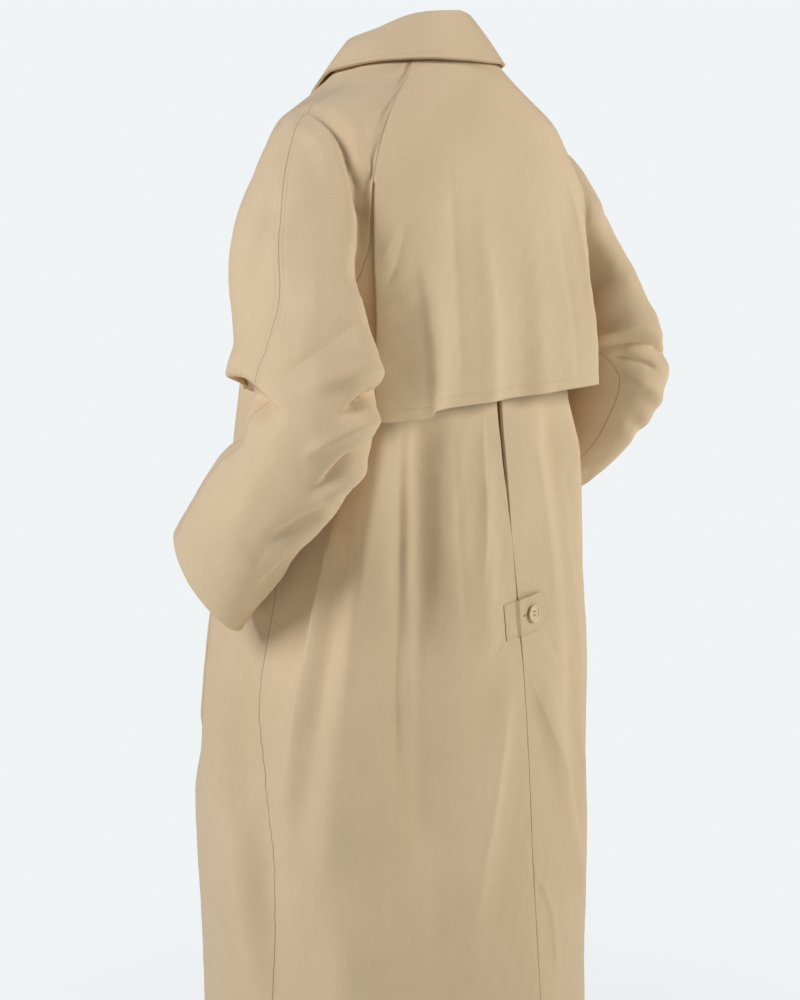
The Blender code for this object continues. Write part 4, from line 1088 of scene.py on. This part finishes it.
tab = {
    "left": 0.023,
    "right": -0.041,
    "halfHeight": 0.0195,
    "z": panels["tabZ"],
    "tilt": -0.05,
    "buttonX": -0.0180,
    "corner": 0.012,
    "freeFrom": 0.0066,
    "base": 0.0009,            # how far its sewn base stands off the panel
    "stitch": 0.0035,
}


def backSpot(x, z, off):
    # A place on the back by its way across and its height, moved out by off and the creases.
    angle = np.degrees(x / backReach(z))
    return bodyPoint(angle, z, off + bodyDetail(angle, z)), bodyNormal(angle, z)


def tabRise(x):
    # Nearly flush where its base is sewn to the left panel, then full height from the pleat on.
    free = smoothStep((tab["freeFrom"] - x) / 0.0050)
    step = cloth["doubled"] + cloth["layerGap"] - 0.0002
    return tab["base"] + step * free + 0.0007 * np.exp(-(x / 0.026) ** 2)


def tabCloth():
    # A strip across the back whose free end is rounded: half height less a quarter ellipse.
    length = tab["left"] - tab["right"]
    end = tab["corner"] / length
    along = np.concatenate([np.linspace(0.0, 1.0 - end, 50),
                            1.0 - end + end * np.sin(np.linspace(0.0, math.pi / 2, 18))[1:]])
    corner = np.clip((along - 1.0 + end) / end, 0.0, 1.0)
    height = tab["halfHeight"] - 0.012 * (1.0 - np.sqrt(1.0 - 0.97 * corner ** 2))
    x = (tab["left"] - length * along)[:, None]
    across = closeEdges(31, 0.10)[None, :] * 2.0 - 1.0
    z = tab["z"] + tab["tilt"] * (x - tab["buttonX"]) + across * height[:, None]
    x = np.broadcast_to(x, z.shape)
    dimple = 0.0005 * np.exp(-((x - tab["buttonX"]) ** 2 + (z - tab["z"]) ** 2) / 0.012 ** 2)
    points, normals = backSpot(x, z, tabRise(x) - dimple)
    return clothPiece("clothTab", "tab", points, normals, cloth["doubled"],
                      [(edge, tab["stitch"]) for edge in ("top", "bottom", "left", "right")], shellCloth)


welt = {
    "line": ((-0.570, 137.0), (-0.650, 130.0), (-0.725, 121.0)),
    "halfWidth": 0.017,
    "radius": 0.205,
    "slant": 0.35,             # how much its ends lean
    "base": 0.0006,            # off the panel at its edges
    "rise": 0.0016,            # and how much further in the middle
    "stitch": 0.002,
}


def weltCloth(name, node, side):
    # A strip on either side of its line, highest in the middle and pressed down at all four edges.
    rows = np.linspace(welt["line"][0][0], welt["line"][-1][0], 91)[:, None]
    middle = readTable(welt["line"], 1, rows)
    across = closeEdges(23, 0.10)[None, :] * 2.0 - 1.0
    angle = middle + np.degrees(welt["halfWidth"] / welt["radius"]) * across
    z = rows + across * welt["halfWidth"] * welt["slant"]
    ends = smoothStep((rows[0] - rows) / 0.006), smoothStep((rows - rows[-1]) / 0.006)
    free = smoothStep((1.0 - np.abs(across)) / 0.25) * ends[0] * ends[1]
    off = welt["base"] + welt["rise"] * free + bodyDetail(side * angle, z)
    return clothPiece(name, node, bodyPoint(side * angle, z, off), bodyNormal(side * angle, z),
                      cloth["doubled"],
                      [(edge, welt["stitch"]) for edge in ("top", "bottom", "right")], shellCloth)


tabCloth()
weltCloth("clothWeltLeft", "pocket_welt_left", 1.0)
weltCloth("clothWeltRight", "pocket_welt_right", -1.0)

button = {
    "radius": 0.0093,
    "thickness": 0.0028,
    "rim": 0.0018,
    "holeRadius": 0.0010,
    "holeOffset": 0.0021,
    "frontZ": -0.104,
    "horn": (0.78, 0.60, 0.34),
    "pale": (0.78, 0.66, 0.44),
    "thread": (0.50, 0.37, 0.20),
}


def hornMaterial():
    # Pale horn: wavy bands through stretched noise, under a thin clear polish.
    f = Finish("paleHorn")
    place = f.node("TexCoord", output=3)
    bands = f.node("TexNoise", Vector=place, Scale=260.0, Detail=3.0, Distortion=1.2)
    fleck = f.node("TexNoise", Vector=place, Scale=1400.0, Detail=2.0)
    colour = f.mix((bands - 0.35) * 1.8, button["horn"], button["pale"])
    colour = f.mix((fleck - 0.5) * 0.35 + 0.1, colour, scaled(button["horn"], 0.55))
    bump = f.node("Bump", Strength=0.25, Distance=0.00008, Height=bands + fleck * 0.4)
    return f.feed(Base_Color=colour, Roughness=0.36 + fleck * 0.10, Normal=bump, Coat_Weight=0.15)


def threadMaterial():
    # Two browns mixed by fine noise, which also roughens it.
    f = Finish("sewingThread")
    place = f.node("TexCoord", output=3)
    twist = f.node("TexNoise", Vector=place, Scale=2600.0, Detail=2.0)
    colour = f.mix(twist, scaled(button["thread"], 0.7), scaled(button["thread"], 1.35))
    bump = f.node("Bump", Strength=0.5, Distance=0.0001, Height=twist)
    return f.feed(Base_Color=colour, Roughness=0.7, Normal=bump)


horn, threadFinish = hornMaterial(), threadMaterial()


def latheMesh(name, profile, sides):
    # The profile's radius and height turned about the axis, closed at both poles.
    profile = np.array(profile)
    turn = np.linspace(0.0, 2 * math.pi, sides, endpoint=False)
    ring = np.stack([np.cos(turn), np.sin(turn)], axis=-1)
    inner = profile[1:-1]
    heights = np.broadcast_to(inner[:, None, 1:], (len(inner), sides, 1))
    wall = np.concatenate([inner[:, None, :1] * ring[None], heights], axis=-1)
    verts = np.concatenate([[[0, 0, profile[0, 1]]], wall.reshape(-1, 3), [[0, 0, profile[-1, 1]]]])
    k = np.arange(sides)
    n = (k + 1) % sides
    faces = [(0, 1 + b, 1 + a) for a, b in zip(k, n)]
    for r in range(len(inner) - 1):
        a, b = 1 + r * sides, 1 + (r + 1) * sides
        faces += list(zip(a + k, a + n, b + n, b + k))
    top = 1 + (len(inner) - 1) * sides
    faces += [(top + a, top + b, len(verts) - 1) for a, b in zip(k, n)]
    mesh = bpy.data.meshes.new(name)
    mesh.from_pydata(verts.tolist(), [], [tuple(int(i) for i in f) for f in faces])
    return addObject(name, mesh)


def tubeMesh(path, radius, sides=10):
    # A round tube along a path of points, open at both ends.
    path = np.asarray(path, float)
    along = unit(np.gradient(path, axis=0))
    first = unit(np.cross(along, (0.13, 0.31, 0.94)))
    second = np.cross(along, first)
    turn = np.linspace(0.0, 2 * math.pi, sides, endpoint=False)[None, :, None]
    ring = path[:, None] + radius * (np.cos(turn) * first[:, None] + np.sin(turn) * second[:, None])
    index = np.arange(len(path) * sides).reshape(len(path), sides)
    after = np.roll(index, -1, axis=1)
    quads = np.stack([index[:-1], after[:-1], after[1:], index[1:]], axis=-1).reshape(-1, 4)
    return ring.reshape(-1, 3), quads


def sewnButton(name, node, point, normal):
    # A turned disc with a rounded rim and a dish, four drilled holes, and six strands of thread.
    place = Matrix.Translation(Vector(point)) @ Vector(normal).to_track_quat("Z", "Y").to_matrix().to_4x4()
    r, h, rim = button["radius"], button["thickness"], button["rim"]
    turn = np.linspace(0.0, math.pi / 2, 7)
    profile = [(0.0, 0.0), (r * 0.5, 0.0)]
    profile += [(r - 0.0009 + 0.0009 * math.sin(a), 0.0009 - 0.0009 * math.cos(a)) for a in turn]
    profile += [(r - 0.0008 + 0.0008 * math.cos(a), h - 0.0008 + 0.0008 * math.sin(a)) for a in turn]
    dip = np.linspace(0.0, 1.0, 9)
    profile += [(r - rim - 0.0012 * t, h - 0.0009 * smoothStep(t)) for t in dip]
    profile += [(r * 0.36, h - 0.00095), (0.0, h - 0.0009)]
    disc = latheMesh(name, profile, 72)
    drills = []
    bore, o = button["holeRadius"], button["holeOffset"]
    for across, along in ((1, 1), (-1, 1), (-1, -1), (1, -1)):
        drill = latheMesh("drill", [(0, -0.002), (bore, -0.002), (bore, 0.006), (0, 0.006)], 20)
        drill.data.transform(Matrix.Translation((across * o, along * o, 0.0)))
        cut = disc.modifiers.new("hole", "BOOLEAN")
        cut.operation, cut.solver, cut.object = "DIFFERENCE", "EXACT", drill
        drills.append(drill)
    bpy.context.view_layer.update()
    mesh = bpy.data.meshes.new_from_object(disc.evaluated_get(bpy.context.evaluated_depsgraph_get()))
    disc.modifiers.clear()
    disc.data = mesh
    for drill in drills:
        bpy.data.objects.remove(drill, do_unlink=True)
    mesh.transform(place)
    mesh.shade_smooth()
    mesh.set_sharp_from_angle(angle=math.radians(35.0))
    mesh.materials.clear()
    mesh.materials.append(horn)
    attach(disc, "root")
    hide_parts(node)
    t = np.linspace(0.0, 1.0, 13)
    arch = h - 0.0026 + 0.0023 * np.sin(math.pi * t) ** 0.45
    tubes = [tubeMesh(np.stack([-o + 2 * o * t, along + strand + 0 * t, arch], axis=-1), 0.00026)
             for along in (o, -o) for strand in (-0.00034, 0.0, 0.00034)]
    tubes.append(tubeMesh(np.stack([0 * t, 0 * t, -0.0006 + 0.0012 * t], axis=-1), 0.0016, 16))
    firsts = np.cumsum([0] + [len(verts) for verts, _ in tubes])
    thread = meshObject(name + "Thread", np.concatenate([verts for verts, _ in tubes]),
                        np.concatenate([quads + first for (_, quads), first in zip(tubes, firsts)]))
    thread.data.transform(place)
    thread.data.materials.append(threadFinish)
    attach(thread, "root")
    return disc


spot, facing = backSpot(tab["buttonX"], tab["z"], tabRise(tab["buttonX"]) + cloth["layerGap"])
sewnButton("buttonTab", "tab_button", spot, facing)
spot = bodyPoint(180.0, button["frontZ"], cloth["thickness"] + 3.5 * cloth["layerGap"])
sewnButton("buttonFront", "front_button", spot, bodyNormal(180.0, button["frontZ"]))


def buttonhole(name, middleX, middleZ, halfLength, tilt):
    # Purl stitches: a ring of small upright loops along a long oval.
    t = np.linspace(0.0, 2 * math.pi, 400)
    long, short = halfLength * np.cos(t), 0.0011 * np.sign(np.sin(t)) * np.abs(np.sin(t)) ** 0.6
    wobble = 0.00022 * np.sin(t * 46.0)
    x = middleX + long + wobble * np.cos(t)
    z = middleZ + tilt * long + short + wobble * np.sin(t)
    points, _ = backSpot(x, z, tabRise(x) + 0.00015)
    verts, quads = tubeMesh(points, 0.00042, 8)
    ring = meshObject(name, verts, quads)
    ring.data.materials.append(threadFinish)
    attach(ring, "root")
    return ring


buttonhole("tabButtonhole", tab["buttonX"] + 0.0045, tab["z"] + 0.0008, 0.0095, tab["tilt"])
print("tab, welts and buttons made")


# Studio

studio = {
    "floorZ": -1.47,
    "floorRadius": 9.0,
    "backdrop": (0.875, 0.900, 0.912),
    "air": (0.96, 0.98, 1.0),
    "airStrength": 0.10,
    "cameraAt": (1.23009, 1.05422, -0.16),
    "heading": (-0.755, -0.656),
    "pitch": 11.5,             # degrees down
    "lens": 52.2,
}


def makeFloor():
    # A disc that fades into the backdrop's own colour towards its rim.
    t = np.linspace(0.0, 2 * math.pi, 97)[:-1]
    radii = np.array([0.001, 1.0, 2.0, 4.0, studio["floorRadius"]])
    level = np.full((len(radii), len(t)), studio["floorZ"])
    verts = np.stack([radii[:, None] * np.cos(t), radii[:, None] * np.sin(t), level], axis=-1)
    index = np.arange(verts.shape[0] * verts.shape[1]).reshape(verts.shape[:2])
    after = np.roll(index, -1, axis=1)
    quads = np.stack([index[:-1], index[1:], after[1:], after[:-1]], axis=-1).reshape(-1, 4)
    floor = meshObject("studioFloor", verts.reshape(-1, 3), quads)
    f = Finish("paleFloor")
    place = f.node("TexCoord", output=3)
    far = f.node("VectorMath", {"operation": "LENGTH"}, output=1, _0=place)
    glow = f.node("Emission", Color=(*studio["backdrop"], 1.0), Strength=1.0)
    f.feed(Base_Color=(*studio["backdrop"], 1.0), Roughness=0.9)
    blend = f.tree.nodes.new("ShaderNodeMixShader")
    f.tree.links.new(far.within(0.5, 1.9).socket, blend.inputs[0])
    f.tree.links.new(glow.socket, blend.inputs[1])
    f.tree.links.new(f.shader.outputs[0], blend.inputs[2])
    f.tree.links.new(blend.outputs[0], f.tree.nodes["Material Output"].inputs["Surface"])
    floor.data.materials.append(f.material)


makeFloor()

world = bpy.data.worlds.new("paleRoom")
bpy.context.scene.world = world
world.use_nodes = True
tree = world.node_tree
air = tree.nodes["Background"]                             # lights the coat
air.inputs["Color"].default_value = (*studio["air"], 1.0)
air.inputs["Strength"].default_value = studio["airStrength"]
seen = tree.nodes.new("ShaderNodeBackground")              # the pale wall behind it
seen.inputs["Color"].default_value = (*studio["backdrop"], 1.0)
path = tree.nodes.new("ShaderNodeLightPath")
either = tree.nodes.new("ShaderNodeMixShader")
tree.links.new(path.outputs["Is Camera Ray"], either.inputs[0])
tree.links.new(air.outputs[0], either.inputs[1])
tree.links.new(seen.outputs[0], either.inputs[2])
tree.links.new(either.outputs[0], tree.nodes["World Output"].inputs["Surface"])
bpy.context.scene.view_settings.view_transform = "Standard"


def softBox(name, place, aim, size, power, colour):
    # A rectangle of light that faces its aim.
    light = bpy.data.lights.new(name, "AREA")
    light.shape, light.size, light.size_y = "RECTANGLE", size[0], size[1]
    light.energy, light.color = power, colour
    obj = addObject(name, light)
    obj.location = place
    obj.rotation_euler = (Vector(aim) - Vector(place)).to_track_quat("-Z", "Y").to_euler()
    return obj


softBox("keyLight", (2.57, -0.45, 1.35), (0.0, 0.0, -0.5), (0.9, 1.3), 69.0, (0.96, 1.0, 1.12))
softBox("fillLight", (-1.56, 2.08, 0.8), (0.0, 0.0, -0.6), (0.9, 1.3), 55.0, (1.0, 1.01, 1.03))

camera = bpy.data.cameras.new("photoCamera")
camera.sensor_fit, camera.sensor_width, camera.sensor_height = "VERTICAL", 36.0, 36.0
camera.lens = studio["lens"]
camera.clip_start, camera.clip_end = 0.05, 60.0
cameraObject = addObject("photoCamera", camera)
pitch = math.radians(studio["pitch"])
aheadX, aheadY = studio["heading"]
look = Vector((aheadX * math.cos(pitch), aheadY * math.cos(pitch), -math.sin(pitch)))
cameraObject.location = studio["cameraAt"]
cameraObject.rotation_euler = look.to_track_quat("-Z", "Y").to_euler()
bpy.context.scene.camera = cameraObject
print("studio made")
